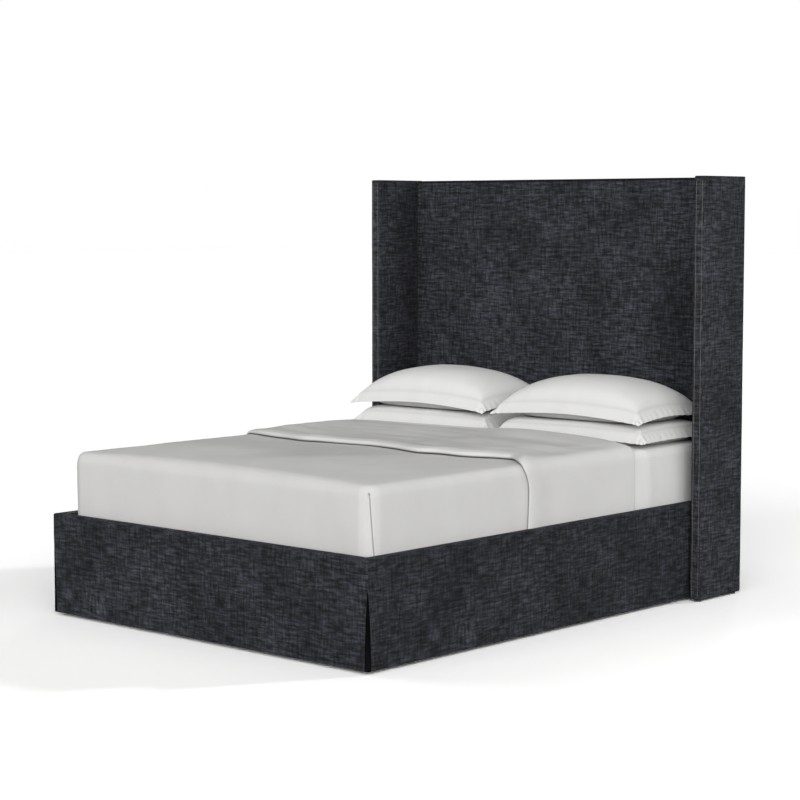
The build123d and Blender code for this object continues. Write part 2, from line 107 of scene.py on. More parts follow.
# Bedding
SHOULDER = 63 * MM
SHOULDER_CORE = COVERLET_HIGH.x - SHOULDER
CROWN = 20 * MM
CROWN_BLEND = 15 * MM
BED_CELL = 26 * MM
SHOULDER_CUTS = 5
SHEET_WALL = 1 * MM
COVERLET_WALL = 2 * MM
BAND_WALL = 0.6 * MM


# Materials

WEAVE_DEPTH = 0.8 * MM
THREAD_DEPTH = 0.3 * MM
GRAIN_DEPTH = 0.2 * MM
PORE_DEPTH = 0.4 * MM
FOAM_DEPTH = 0.6 * MM


def knot(tree, kind, sockets=None, **settings):
    """One node of a material, with its settings made and its sockets filled or linked."""
    made = tree.nodes.new("ShaderNode" + kind)
    for name, value in settings.items():
        setattr(made, name, value)
    for name, value in (sockets or {}).items():
        if isinstance(value, bpy.types.NodeSocket):
            tree.links.new(value, made.inputs[name])
        else:
            made.inputs[name].default_value = value
    return made


def blank(name):
    """A new material, its node tree and its shader."""
    material = bpy.data.materials.new(name)
    material.use_nodes = True
    return material, material.node_tree, material.node_tree.nodes["Principled BSDF"]


def ramp(tree, value, stops):
    """Colours along a value, from (place, colour) stops."""
    made = knot(tree, "ValToRGB", {"Fac": value})
    band = made.color_ramp
    while len(band.elements) < len(stops):
        band.elements.new(0.5)
    for element, (place, colour) in zip(band.elements, stops):
        element.position = place
        element.color = (*colour, 1.0)
    return made.outputs["Color"]


def stretched_noise(tree, place, scale, detail=2.0, roughness=0.5):
    """Noise drawn out along the axes, with scale as repeats in a metre."""
    spread = knot(tree, "Mapping", {"Vector": place, "Scale": scale})
    grain = knot(tree, "TexNoise", {"Vector": spread.outputs["Vector"], "Scale": 1.0,
                                    "Detail": detail, "Roughness": roughness})
    return grain.outputs["Fac"]


def mixed(tree, a, b, factor=0.5, blend="MIX"):
    """Two values or colours mixed."""
    made = knot(tree, "Mix", data_type="RGBA", blend_type=blend)
    for socket, value in (("Factor", factor), ("A", a), ("B", b)):
        spot = next(s for s in made.inputs
                    if s.name == socket and (s.type == "RGBA" or socket == "Factor") and s.enabled)
        if isinstance(value, bpy.types.NodeSocket):
            tree.links.new(value, spot)
        else:
            spot.default_value = value
    return next(s for s in made.outputs if s.type == "RGBA")


def bumped(tree, shader, height, strength, distance):
    """Relief on the shader from a height."""
    made = knot(tree, "Bump", {"Height": height, "Strength": strength, "Distance": distance})
    tree.links.new(made.outputs["Normal"], shader.inputs["Normal"])


def linen_material(name, shine):
    """Charcoal linen: uneven warp and weft yarns, dark and blue-grey patches, and painted shade down
    to near black.
    """
    look = bpy.context.scene.bed_upholstery
    material, tree, shader = blank(name)
    weave = knot(tree, "UVMap", uv_map="weave").outputs["UV"]
    along, across = 1 / look.slub_length, 1 / look.slub_width
    weft = stretched_noise(tree, weave, (along, across, 1.0), detail=3.0, roughness=0.7)
    warp = stretched_noise(tree, weave, (across, along, 1.0), detail=3.0, roughness=0.7)
    patches = stretched_noise(tree, weave, (4.2, 3.2, 1.0), detail=3.0)
    tint = stretched_noise(tree, weave, (9.0, 40.0, 1.0), detail=2.0)
    yarns = mixed(tree, weft, warp)
    colour = ramp(tree, weft, [(0.34, look.dark_yarn), (0.5, look.linen), (0.66, look.light_yarn)])
    crossing = ramp(tree, warp, [(0.34, (0.5, 0.5, 0.5)), (0.5, (1.0, 1.0, 1.0)),
                                 (0.66, (1.5, 1.5, 1.52))])
    shade = ramp(tree, patches, [(0.3, (0.62, 0.625, 0.6)), (0.5, (1.0, 1.0, 1.0)),
                                 (0.7, (1.4, 1.4, 1.42))])
    cool = ramp(tree, tint, [(0.4, (1.0, 1.0, 0.98)), (0.62, (0.99, 1.0, 1.05))])
    for layer in (crossing, shade, cool):
        colour = mixed(tree, colour, layer, 1.0, "MULTIPLY")
    # Painted shade from the cloth's own marks darkens the linen towards near black
    seam = knot(tree, "Attribute", attribute_name="seam").outputs["Fac"]
    colour = mixed(tree, colour, (0.004, 0.004, 0.0045, 1.0), seam)
    tree.links.new(colour, shader.inputs["Base Color"])
    shader.inputs["Roughness"].default_value = 0.92
    shader.inputs["Specular IOR Level"].default_value = shine
    thread_relief = mixed(tree, stretched_noise(tree, weave, (300.0, 1100.0, 1.0)),
                          stretched_noise(tree, weave, (1100.0, 300.0, 1.0)))
    bumped(tree, shader, mixed(tree, thread_relief, yarns, 0.5), 0.5, WEAVE_DEPTH)
    return material


def cotton_material(name, white):
    """White cotton percale: fine matt threads and faint unevenness."""
    material, tree, shader = blank(name)
    weave = knot(tree, "UVMap", uv_map="weave").outputs["UV"]
    threads = mixed(tree, stretched_noise(tree, weave, (120.0, 900.0, 1.0)),
                    stretched_noise(tree, weave, (900.0, 120.0, 1.0)))
    cloudy = stretched_noise(tree, weave, (7.0, 5.0, 1.0), detail=3.0)
    worn = tuple(channel * 0.965 for channel in white)
    colour = ramp(tree, cloudy, [(0.35, worn), (0.6, tuple(white))])
    fine = ramp(tree, threads, [(0.35, (0.97, 0.97, 0.97)), (0.6, (1.0, 1.0, 1.0))])
    colour = mixed(tree, colour, fine, 1.0, "MULTIPLY")
    # Painted shade from the cloth's own marks greys it in folds, under the rolled edge and under
    # pillows; sewn pillow lines use it too
    seam = knot(tree, "Attribute", attribute_name="seam").outputs["Fac"]
    colour = mixed(tree, colour, (0.12, 0.115, 0.11, 1.0), seam)
    tree.links.new(colour, shader.inputs["Base Color"])
    shader.inputs["Roughness"].default_value = 0.9
    shader.inputs["Specular IOR Level"].default_value = 0.03
    bumped(tree, shader, threads, 0.25, THREAD_DEPTH)
    return material


def grained_material(name, grain, dark, light, roughness, detail=3.0, relief=0.0, metallic=0.0):
    """Thread, metal or nylon: one fine grain, from dark to light, with relief from it."""
    material, tree, shader = blank(name)
    place = knot(tree, "TexCoord").outputs["Object"]
    pattern = stretched_noise(tree, place, grain, detail)
    colour = ramp(tree, pattern, [(0.3, dark), (0.7, light)])
    tree.links.new(colour, shader.inputs["Base Color"])
    shader.inputs["Metallic"].default_value = metallic
    shader.inputs["Roughness"].default_value = roughness
    if relief:
        bumped(tree, shader, pattern, relief, GRAIN_DEPTH)
    return material


def dust_cloth_material():
    """Black non-woven dust cloth with a pressed dot pattern."""
    material, tree, shader = blank("dust cloth")
    place = knot(tree, "TexCoord").outputs["Object"]
    dots = knot(tree, "TexVoronoi", {"Vector": place, "Scale": 420.0}).outputs["Distance"]
    fibres = stretched_noise(tree, place, (160.0, 160.0, 160.0), detail=5.0)
    colour = ramp(tree, fibres, [(0.3, (0.012, 0.012, 0.013)), (0.7, (0.03, 0.03, 0.032))])
    tree.links.new(colour, shader.inputs["Base Color"])
    shader.inputs["Roughness"].default_value = 0.85
    bumped(tree, shader, dots, 0.4, PORE_DEPTH)
    return material


def foam_material():
    """Cream upholstery foam with open cells."""
    material, tree, shader = blank("foam")
    place = knot(tree, "TexCoord").outputs["Object"]
    cells = knot(tree, "TexVoronoi", {"Vector": place, "Scale": 700.0}).outputs["Distance"]
    colour = ramp(tree, cells, [(0.1, (0.55, 0.5, 0.36)), (0.6, (0.8, 0.76, 0.62))])
    tree.links.new(colour, shader.inputs["Base Color"])
    shader.inputs["Roughness"].default_value = 0.95
    bumped(tree, shader, cells, 0.5, FOAM_DEPTH)
    return material


def timber_material(name, light, dark, rings):
    """Sawn pale timber: long grain, growth bands and fine pores."""
    material, tree, shader = blank(name)
    place = knot(tree, "TexCoord").outputs["Object"]
    bands = stretched_noise(tree, place, rings, detail=4.0, roughness=0.6)
    pores = stretched_noise(tree, place, tuple(8 * r for r in rings), detail=2.0)
    colour = ramp(tree, bands, [(0.32, dark), (0.5, light), (0.7, tuple(0.9 * c for c in light))])
    fleck = ramp(tree, pores, [(0.35, (0.86, 0.84, 0.8)), (0.55, (1.0, 1.0, 1.0))])
    colour = mixed(tree, colour, fleck, 1.0, "MULTIPLY")
    tree.links.new(colour, shader.inputs["Base Color"])
    shader.inputs["Roughness"].default_value = 0.65
    bumped(tree, shader, pores, 0.25, PORE_DEPTH)
    return material


FINISHES = {}
SLOTS = {"coverlet_cotton": "white_cotton", "pleat_linen": "charcoal_linen"}


def finish(slot):
    """The finish of one material slot, made once."""
    bedding = bpy.context.scene.bed_bedding
    makers = {
        "charcoal_linen": lambda: linen_material("charcoal linen", 0.1),
        "pleat_linen": lambda: linen_material("pleat linen", 0.0),
        "white_cotton": lambda: cotton_material("white cotton", bedding.cotton),
        "coverlet_cotton": lambda: cotton_material("coverlet cotton", bedding.coverlet_cotton),
        "thread": lambda: grained_material(
            "topstitch thread", (300.0, 300.0, 900.0), (0.15, 0.145, 0.105), (0.28, 0.27, 0.2),
            0.6, detail=2.0),
        "dust_cloth": dust_cloth_material,
        "foam": foam_material,
        "timber": lambda: timber_material("timber", (0.62, 0.45, 0.27), (0.45, 0.29, 0.15),
                                          (6.0, 60.0, 60.0)),
        "plywood": lambda: timber_material("plywood", (0.58, 0.41, 0.25), (0.42, 0.27, 0.15),
                                           (40.0, 90.0, 4.0)),
        "steel": lambda: grained_material(
            "zinc-plated steel", (300.0, 60.0, 300.0), (0.45, 0.45, 0.45), (0.62, 0.62, 0.6),
            0.35, relief=0.15, metallic=1.0),
        "black_steel": lambda: grained_material(
            "powder-coated steel", (800.0, 800.0, 800.0), (0.015, 0.015, 0.015),
            (0.03, 0.03, 0.03), 0.45, relief=0.15),
        "nylon": lambda: grained_material(
            "nylon", (900.0, 900.0, 900.0), (0.018, 0.018, 0.018), (0.045, 0.045, 0.046),
            0.5, relief=0.2),
    }
    if slot not in FINISHES:
        FINISHES[slot] = makers[slot]()
    return FINISHES[slot]


# Meshes

def lay_weave(bm):
    """Cloth directions in metres: each face takes the plane that it faces most."""
    weave = bm.loops.layers.uv.get("weave") or bm.loops.layers.uv.new("weave")
    for face in bm.faces:
        facing = [abs(c) for c in face.normal]
        axes = ((1, 2), (0, 2), (0, 1))[facing.index(max(facing))]
        for loop in face.loops:
            loop[weave].uv = (loop.vert.co[axes[0]], loop.vert.co[axes[1]])


def cut_every(bm, axis, places):
    """Cuts a form through at places along one axis."""
    normal = Vector((axis == 0, axis == 1, axis == 2))
    for place in places:
        bmesh.ops.bisect_plane(bm, geom=bm.verts[:] + bm.edges[:] + bm.faces[:], dist=1e-6,
                               plane_co=normal * place, plane_no=normal)


def steps(low, high, size):
    """Even places between two ends, about a size apart."""
    count = max(1, round((high - low) / size))
    return [low + (high - low) * i / count for i in range(1, count)]


def soft_box(low, high, cell, edge=0.0, open_sides=()):
    """A box of even cells, its edges rounded, without the sides that face open_sides."""
    bm = bmesh.new()
    bmesh.ops.create_cube(bm, size=1.0)
    bmesh.ops.scale(bm, vec=high - low, verts=bm.verts)
    bmesh.ops.translate(bm, vec=(low + high) / 2, verts=bm.verts)
    gone = [f for f in bm.faces if any(f.normal.dot(Vector(s)) > 0.9 for s in open_sides)]
    bmesh.ops.delete(bm, geom=gone, context="FACES")
    if edge:
        bmesh.ops.bevel(bm, geom=[e for e in bm.edges if len(e.link_faces) == 2], offset=edge,
                        segments=4, profile=0.5, affect="EDGES", material=-1)
    for axis in range(3):
        cut_every(bm, axis, steps(low[axis] + 2 * edge, high[axis] - 2 * edge, cell))
        if edge:
            cut_every(bm, axis, (low[axis] + 2 * edge, high[axis] - 2 * edge))
    return bm


def cloth_grid(columns, rows, place, flat):
    """Cloth laid out from a flat grid by a rule that takes shares across and along it."""
    bm = bmesh.new()
    bmesh.ops.create_grid(bm, x_segments=columns, y_segments=rows, size=0.5)
    weave = bm.loops.layers.uv.new("weave")
    for face in bm.faces:
        for loop in face.loops:
            loop[weave].uv = (loop.vert.co.x * flat[0], loop.vert.co.y * flat[1])
    for vert in bm.verts:
        vert.co = place(vert.co.x + 0.5, vert.co.y + 0.5)
    return bm


def soft_noise(x, y, seed):
    """A smooth value from -1 to 1 over the plane."""
    return noise.noise(Vector((x, y, seed)))


def swell(bm, depth, wave, seed):
    """Presses a padded form gently in and out."""
    bm.normal_update()
    for vert in bm.verts:
        pushed = 0.5 + 0.5 * noise.noise(vert.co / wave + Vector((seed, seed, seed)))
        vert.co += vert.normal * depth * pushed


def mark_seams(bm, darkness):
    """Writes the painted shade at each point, from a rule, for the cloth's finish."""
    seam = bm.verts.layers.float.get("seam") or bm.verts.layers.float.new("seam")
    for vert in bm.verts:
        vert[seam] = darkness(vert.co)


def make_piece(bm, name, slot, body, nodes=(), wall=0.0, levels=0):
    """A finished object from a mesh, riding on its body in place of its CAD nodes."""
    for face in bm.faces:
        face.smooth = True
    mesh = bpy.data.meshes.new(name)
    bm.to_mesh(mesh)
    bm.free()
    mesh.materials.append(finish(slot))
    piece = bpy.data.objects.new(name, mesh)
    bpy.context.scene.collection.objects.link(piece)
    if levels:
        rounder = piece.modifiers.new("smooth", "SUBSURF")
        rounder.levels = levels
        rounder.render_levels = levels
    if wall:
        cloth = piece.modifiers.new("cloth", "SOLIDIFY")
        cloth.thickness = wall
        cloth.offset = -1.0
    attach(piece, body)
    if nodes:
        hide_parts(*nodes)
    if slot != "thread":
        SLOTS.get(slot, slot)
    return piece


def smooth_step(low, high, value):
    """From 0 at low to 1 at high, eased at both ends."""
    share = min(1.0, max(0.0, (value - low) / (high - low)))
    return share * share * (3 - 2 * share)


def mirrored(bm):
    """The same form on the other side of the bed."""
    bmesh.ops.scale(bm, vec=Vector((-1, 1, 1)), verts=bm.verts)
    bmesh.ops.reverse_faces(bm, faces=bm.faces[:])
    return bm


def groove(distance, width, depth):
    """How far a sewn line draws the cloth in at a distance from it."""
    return depth * math.exp(-(distance / width) ** 2)


# Upholstery

SEAM_INSET = 8 * MM
STITCH_INSET = 9 * MM
STITCH_LENGTH = 5.4 * MM
STITCH_PITCH = 6.2 * MM
STITCH_WIDTH = 2.1 * MM
SEAM_WIDTH = 2.2 * MM
SEAM_DEPTH = 1.2 * MM
# Painted shade on edges that face away from the lamps
EDGE_PAINTED_SHADE = 0.85
TOPSTITCH_DEPTH = 0.6 * SEAM_DEPTH
# Height of the painted shade along a wing's bottom edge
WING_FOOT_SHADE_HEIGHT = 2 * MM
WING_ROUND = 4 * MM
WING_UNDER = 0.8 * MM
# Painted shade on a wing's inner face, deepest at the headboard corner
CORNER_SHADE = 0.45
INNER_SHADE = 0.14
CORNER_REACH = 230 * MM


def headboard_cover():
    """The headboard's cloth, open below and behind, with a sewn groove under its top edge and painted
    shade on the top above it.
    """
    bm = soft_box(BOARD_LOW, BOARD_HIGH, PAD_CELL, EDGE_ROUND, ((0, 0, -1), (0, 1, 0)))
    seam_z = BOARD_HIGH.z - SEAM_INSET
    cut_every(bm, 2, (seam_z - SEAM_WIDTH, seam_z, seam_z + SEAM_WIDTH))
    lay_weave(bm)
    front = BOARD_LOW.y + EDGE_ROUND / 4
    swell(bm, PAD_SWELL, PAD_WAVE, seed=3.0)
    for vert in bm.verts:
        if vert.co.y < front:
            vert.co.y += groove(vert.co.z - seam_z, SEAM_WIDTH / 2, SEAM_DEPTH)
    # Painted shade on the top above the groove, which faces up away from the lamps
    mark_seams(bm, lambda co: EDGE_PAINTED_SHADE * smooth_step(seam_z - SEAM_WIDTH, seam_z, co.z))
    return bm


def wing_cover():
    """The right wing's cloth, with two topstitched lines down its front, and painted shade on its
    edges and inner face.
    """
    low = WING_LOW - Vector((0, 0, WING_UNDER))
    bm = soft_box(low, WING_HIGH, PAD_CELL, WING_ROUND)
    lines = (WING_LOW.x + STITCH_INSET, WING_HIGH.x - STITCH_INSET)
    for line in lines:
        cut_every(bm, 0, (line - SEAM_WIDTH / 2, line, line + SEAM_WIDTH / 2))
    lay_weave(bm)
    swell(bm, PAD_SWELL, PAD_WAVE, seed=11.0)
    for vert in bm.verts:
        if vert.co.y < WING_LOW.y + WING_ROUND / 4:
            for line in lines:
                vert.co.y += groove(vert.co.x - line, SEAM_WIDTH / 2, TOPSTITCH_DEPTH)
    back, top = WING_HIGH.y - EDGE_ROUND, WING_HIGH.z - EDGE_ROUND
    inner = WING_LOW.x + WING_ROUND

    # Painted shade: darker top, back and bottom edges, and a darker inner face, deepest towards the
    # headboard
    def darkness(co):
        edge = max(smooth_step(back, WING_HIGH.y, co.y), smooth_step(top, WING_HIGH.z, co.z),
                   smooth_step(WING_LOW.z + WING_FOOT_SHADE_HEIGHT, WING_LOW.z, co.z))
        if co.x >= inner:
            return EDGE_PAINTED_SHADE * edge
        corner = smooth_step(BOARD_LOW.y - CORNER_REACH, BOARD_LOW.y, co.y)
        return max(EDGE_PAINTED_SHADE * edge, INNER_SHADE + (CORNER_SHADE - INNER_SHADE) * corner)

    mark_seams(bm, darkness)
    return bm, lines


def topstitches(lines):
    """The lowest stitch of each row on the wing's front, a small thread bead."""
    bm = bmesh.new()
    bead = Vector((STITCH_WIDTH / 2, STITCH_WIDTH / 3, STITCH_LENGTH / 2))
    for line in lines:
        place = Vector((line, WING_LOW.y, WING_LOW.z + 2 * EDGE_ROUND))
        made = bmesh.ops.create_uvsphere(bm, u_segments=6, v_segments=4, radius=1.0)
        bmesh.ops.scale(bm, vec=bead, verts=made["verts"])
        bmesh.ops.translate(bm, vec=place, verts=made["verts"])
    return bm


def repeat_up(piece, pitch, height):
    """Repeats a stitch up a seam."""
    row = piece.modifiers.new("row", "ARRAY")
    row.count = int(height / pitch)
    row.use_relative_offset = False
    row.use_constant_offset = True
    row.constant_offset_displace = (0, 0, pitch)


class BED_OT_upholstery(bpy.types.Operator):
    """Covers the headboard and both wings with linen"""
    bl_idname = "bed.upholstery"
    bl_label = "Headboard and wings"

    def execute(self, context):
        board = make_piece(headboard_cover(), "headboard_linen", "charcoal_linen", "bedstead",
                           ["headboard_cover"], CLOTH)
        for side, turn in (("right", lambda bm: bm), ("left", mirrored)):
            bm, lines = wing_cover()
            wing = make_piece(turn(bm), f"wing_{side}_linen", "charcoal_linen", "bedstead",
                              [f"wing_{side}_cover"], CLOTH)
            row = make_piece(turn(topstitches(lines)), f"wing_{side}_topstitch", "thread",
                             "bedstead")
            repeat_up(row, STITCH_PITCH, WING_HIGH.z - WING_LOW.z - 4 * EDGE_ROUND)
        return {"FINISHED"}


# Skirt

def hem_to_lip():
    """The skirt cloth's section: from its turned hem up, over the rail and down inside it.

    Each point is (depth behind the outer face, height)."""
    top, low = RAIL_TOP, SIDE_LOW.z
    depth = SIDE_HIGH.x - SIDE_LOW.x
    points = [(2 * HEM_ROUND, low + HEM_TURN), (2 * HEM_ROUND, low + HEM_TURN / 2)]
    for i in range(7):
        angle = math.pi * i / 6
        points.append((HEM_ROUND * (1 + math.cos(angle)), low + HEM_ROUND * (1 - math.sin(angle))))
    face_low, face_high = low + 2 * HEM_ROUND, top - EDGE_ROUND
    for z in [face_low] + steps(face_low, face_high, FACE_CELL) + [face_high]:
        points.append((0.0, z))
    for i in range(1, 5):
        angle = math.pi / 2 * i / 4
        points.append((EDGE_ROUND * (1 - math.cos(angle)),
                       face_high + EDGE_ROUND * math.sin(angle)))
    for d in steps(EDGE_ROUND, depth - EDGE_ROUND, RAIL_CELL):
        points.append((d, top))
    for i in range(5):
        angle = math.pi / 2 * i / 4
        points.append((depth - EDGE_ROUND * (1 - math.sin(angle)),
                       top - EDGE_ROUND * (1 - math.cos(angle))))
    points.append((depth, top - INNER_LIP / 2))
    points.append((depth, top - INNER_LIP))
    return points


def corner_turn(reach, z, slit, depth):
    """Where cloth that has run past its last flat point lies: (distance from the corner, depth).

    Below the slit's top it folds back behind the face, and above it follows the corner."""
    edge = slit * (max(0.0, SLIT_TOP - z) / (SLIT_TOP - SIDE_LOW.z)) ** SLIT_OPENING
    angle = min(reach / HEM_ROUND, math.pi)
    past = max(0.0, reach - math.pi * HEM_ROUND)
    folded = Vector((edge + HEM_ROUND - HEM_ROUND * math.sin(angle) + past,
                     HEM_ROUND * (1 - math.cos(angle)) + depth))
    angle = min(reach / CORNER_ROUND, math.pi / 4)
    past = min(SEAM_ALLOWANCE, max(0.0, reach - CORNER_ROUND * math.pi / 4)) * math.sqrt(0.5)
    round_it = Vector((CORNER_ROUND * (1 - math.sin(angle)) + past + depth,
                       CORNER_ROUND * (1 - math.cos(angle)) + past + depth))
    return folded.lerp(round_it, smooth_step(SLIT_TOP - SLIT_BLEND, SLIT_TOP, z))


def skirt_cloth(length, slit, ends, place, seed, face_painted_shade):
    """One length of skirt. ends says at which of its ends it turns round a corner.

    Painted shade darkens the whole length evenly, by the level given."""
    section = hem_to_lip()
    turns = [0.0] + [HEM_ROUND * math.pi * i / 6 for i in range(1, 7)] + [RETURN_FOLD / 2,
                                                                         RETURN_FOLD]
    inner = steps(0.0, 1.0, COLUMN_CELL / length)
    columns = [("run", share) for share in [0.0] + inner + [1.0]]
    if ends[0]:
        columns = [("first", t) for t in reversed(turns[1:])] + columns
    if ends[1]:
        columns = columns + [("last", t) for t in turns[1:]]

    def spot(u, v):
        kind, value = columns[round(u * (len(columns) - 1))]
        depth, z = section[round(v * (len(section) - 1))]
        first = corner_turn(0.0, z, slit, depth)[0] if ends[0] else 0.0
        last = length - (corner_turn(0.0, z, slit, depth)[0] if ends[1] else 0.0)
        if kind == "run":
            along, back = first + (last - first) * value, depth
        else:
            turned = corner_turn(value, z, slit, depth)
            along = turned[0] if kind == "first" else length - turned[0]
            back = turned[1]
        hang = smooth_step(HANG_TOP, SIDE_LOW.z, z)
        hang *= smooth_step(0.0, HANG_EASE, along) if ends[0] else 1.0
        hang *= smooth_step(0.0, HANG_EASE, length - along) if ends[1] else 1.0
        wave = soft_noise(along * 5.5 + seed, z * 1.5, seed)
        wave += 0.5 * soft_noise(along * 13 + seed, z * 2, seed + 4)
        if depth < 3 * HEM_ROUND and z < RAIL_TOP - 2 * EDGE_ROUND:
            back -= HANG_WAVE * hang * wave + HANG_RIPPLE * soft_noise(along * 4, z * 7, seed)
        return place(along, back, z)

    height = 0.0
    for a, b in zip(section, section[1:]):
        height += math.dist(a, b)
    run = length + 2 * RETURN_FOLD
    bm = cloth_grid(len(columns) - 1, len(section) - 1, spot, (run, height))
    bm.normal_update()
    lay_weave(bm)
    mark_seams(bm, lambda co: face_painted_shade)
    return bm, (run, height)


INSERT_BEND = 1.5 * MM
INSERT_LEAN = 1.2 * MM
INSERT_SET_BACK = 5 * MM
INSERT_FROM = 12 * MM
INSERT_FULL = 40 * MM
INSERT_CELLS = (60, 24)
# Painted shade that makes the insert almost black
INSERT_SHADE = 0.88


def pleat_insert():
    """The insert behind the corner pleat, which bends round the corner. Painted shade makes it almost
    black, fully so from half the slit's height up.
    """
    low, high = INSERT_LOW.z, INSERT_HIGH.z
    reach = INSERT_HIGH.x - INSERT_LOW.x
    bend, lean = INSERT_BEND, INSERT_LEAN

    def spot(u, v):
        z = low + (high - low) * v
        far = (2 * u - 1) * reach
        straight = max(0.0, abs(far) - bend)
        back = lean + INSERT_SET_BACK * smooth_step(INSERT_FROM, INSERT_FULL, straight)
        turn = max(0.0, bend - abs(far)) / bend
        ease = bend * 0.3 * turn * turn
        x, y = SIDE_HIGH.x, FOOT_LOW.y
        if far < 0:
            return Vector((x - lean - straight - ease, y + back + ease, z))
        return Vector((x - back - ease, y + lean + straight + ease, z))

    bm = cloth_grid(*INSERT_CELLS, spot, (2 * reach, high - low))
    bm.normal_update()
    lay_weave(bm)
    mark_seams(bm, lambda co: INSERT_SHADE + (1 - INSERT_SHADE) * smooth_step(low, SLIT_TOP / 2, co.z))
    return bm, (2 * reach, high - low)


class BED_OT_skirt(bpy.types.Operator):
    """Hangs the base's cloth from its rails to the floor, with a pleat at each foot corner"""
    bl_idname = "bed.skirt"
    bl_label = "Skirt and pleats"

    def execute(self, context):
        x, y = SIDE_HIGH.x, FOOT_LOW.y
        length = SIDE_HIGH.y - y
        for side, turn in (("right", lambda bm: bm), ("left", mirrored)):
            bm, flat = skirt_cloth(length, SLIT_SIDE, (True, False),
                                   lambda t, d, z: Vector((x - d, y + t, z)), 2.0, SIDE_PAINTED_SHADE)
            cloth = make_piece(turn(bm), f"skirt_linen_{side}", "charcoal_linen", "bedstead",
                               [f"skirt_cover_{side}"], SKIRT_WALL)
            bm, flat = pleat_insert()
            insert = make_piece(turn(bm), f"pleat_linen_{side}", "pleat_linen", "bedstead",
                                [f"pleat_insert_{side}"], INSERT_WALL)
        bm, flat = skirt_cloth(2 * x, SLIT_FOOT, (True, True),
                               lambda t, d, z: Vector((t - x, y + d, z)), 7.0, FOOT_PAINTED_SHADE)
        foot = make_piece(bm, "skirt_linen_foot", "charcoal_linen", "bedstead",
                          ["skirt_cover_foot"], SKIRT_WALL)
        return {"FINISHED"}


DUST_SAG = 0.72 * MM
DUST_EASE = 0.08
DUST_TUCKS = (70, 64)
DUST_CELLS = (90, 90)


class BED_OT_dust_cover(bpy.types.Operator):
    """Stretches the dust cloth over the headboard's back"""
    bl_idname = "bed.dust_cover"
    bl_label = "Dust cover"

    def execute(self, context):
        size = DUST_HIGH - DUST_LOW

        def spot(u, v):
            x = DUST_HIGH.x - size.x * u
            z = DUST_LOW.z + size.z * v
            edge = min(u, v, 1 - u, 1 - v)
            sag = DUST_SAG * smooth_step(0.0, DUST_EASE, edge)
            tuck = 0.5 * math.sin(DUST_TUCKS[0] * u) * math.sin(DUST_TUCKS[1] * v)
            return Vector((x, DUST_HIGH.y - sag * (1 + tuck), z))

        bm = cloth_grid(*DUST_CELLS, spot, (size.x, size.z))
        cloth = make_piece(bm, "headboard_dust_cloth", "dust_cloth", "bedstead",
                           ["headboard_dust_cover"], DUST_WALL)
        return {"FINISHED"}


# Bedding

def rounded(co, low, high, radius):
    """A point of a box moved onto the box with rounded edges."""
    core = Vector((min(max(co[i], low[i] + radius), high[i] - radius) for i in range(3)))
    out = co - core
    return core + out.normalized() * radius if out.length > 1e-9 else co


def dome(x, half, top):
    """The height of the bed's crown, which is highest down the middle."""
    return top - CROWN * (x / half) ** 2


def soft_lower(a, b, blend):
    """The lower of two heights, eased where they cross."""
    share = min(1.0, max(0.0, 0.5 + 0.5 * (b - a) / blend))
    return b + (a - b) * share - blend * share * (1 - share)


def along_points(points, place):
    """A smooth line's height at a place, through points in order."""
    for i in range(len(points) - 1):
        if place <= points[i + 1][0] or i == len(points) - 2:
            (x0, y0), (x1, y1) = points[i], points[i + 1]
            before = points[max(i - 1, 0)]
            after = points[min(i + 2, len(points) - 1)]
            t = min(1.0, max(0.0, (place - x0) / (x1 - x0)))
            span = x1 - x0
            m0 = (y1 - before[1]) / (x1 - before[0]) * span
            m1 = (after[1] - y0) / (after[0] - x0) * span
            return ((2 * t ** 3 - 3 * t ** 2 + 1) * y0 + (t ** 3 - 2 * t ** 2 + t) * m0
                    + (-2 * t ** 3 + 3 * t ** 2) * y1 + (t ** 3 - t ** 2) * m1)


# How far the made-up top has sunk: place along the bed, and depth
SINK = (
    (-0.8, 0.0), (-0.68, 0.0), (-0.62, 0.0011), (-0.52, 0.0037), (-0.42, 0.0061),
    (-0.32, 0.0078), (-0.2, 0.0084), (0.0, 0.0076), (0.25, 0.0035), (0.45, 0.0), (0.6, 0.0),
)
SINK_SKEW = 80 * MM
SINK_INNER = 480 * MM
SINK_OUTER = 740 * MM


def sunk(x, y):
    """How far the top has sunk at a place, which fades towards both sides."""
    skewed = y - SINK_SKEW * smooth_step(-0.05, -0.4, x)
    return along_points(SINK, skewed) * smooth_step(SINK_OUTER, SINK_INNER, abs(x))


def bed_form(co, low, high, radius):
    """A point of a box moved onto the made-up bed: rounded, crowned and a little sunk."""
    place = rounded(co, low, high, radius)
    height = soft_lower(place.z, dome(place.x, high.x, high.z), CROWN_BLEND)
    share = smooth_step(high.z - radius, high.z - radius / 3, height)
    return Vector((place.x, place.y, height - share * sunk(place.x, place.y)))


def cut_shoulders(bm, low, high):
    """Finer cells where the top turns down into the sides and the foot."""
    for i in range(1, SHOULDER_CUTS + 1):
        inset = SHOULDER * i / SHOULDER_CUTS
        cut_every(bm, 0, (low.x + inset, high.x - inset))
        cut_every(bm, 1, (low.y + inset,))
        cut_every(bm, 2, (high.z - inset,))


FOAM_INSET = 0.5 * MM
SHEET_PULL = 0.8 * MM
SHEET_GATHER = 0.6 * MM
GATHER_TURNS = 190
GATHER_TOP = 0.42
GATHER_LOW = 0.33


def comfort_foam():
    """The mattress's soft upper layer, rounded over its shoulders."""
    low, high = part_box("mattress_comfort_foam")
    radius = high.x - SHOULDER_CORE
    bm = soft_box(low, high, BED_CELL)
    cut_shoulders(bm, low, high)
    deep = Vector((low.x, low.y, low.z - radius))
    for vert in bm.verts:
        inset = FOAM_INSET * vert.co.normalized()
        vert.co = bed_form(vert.co, deep, high, radius) - inset
    return bm


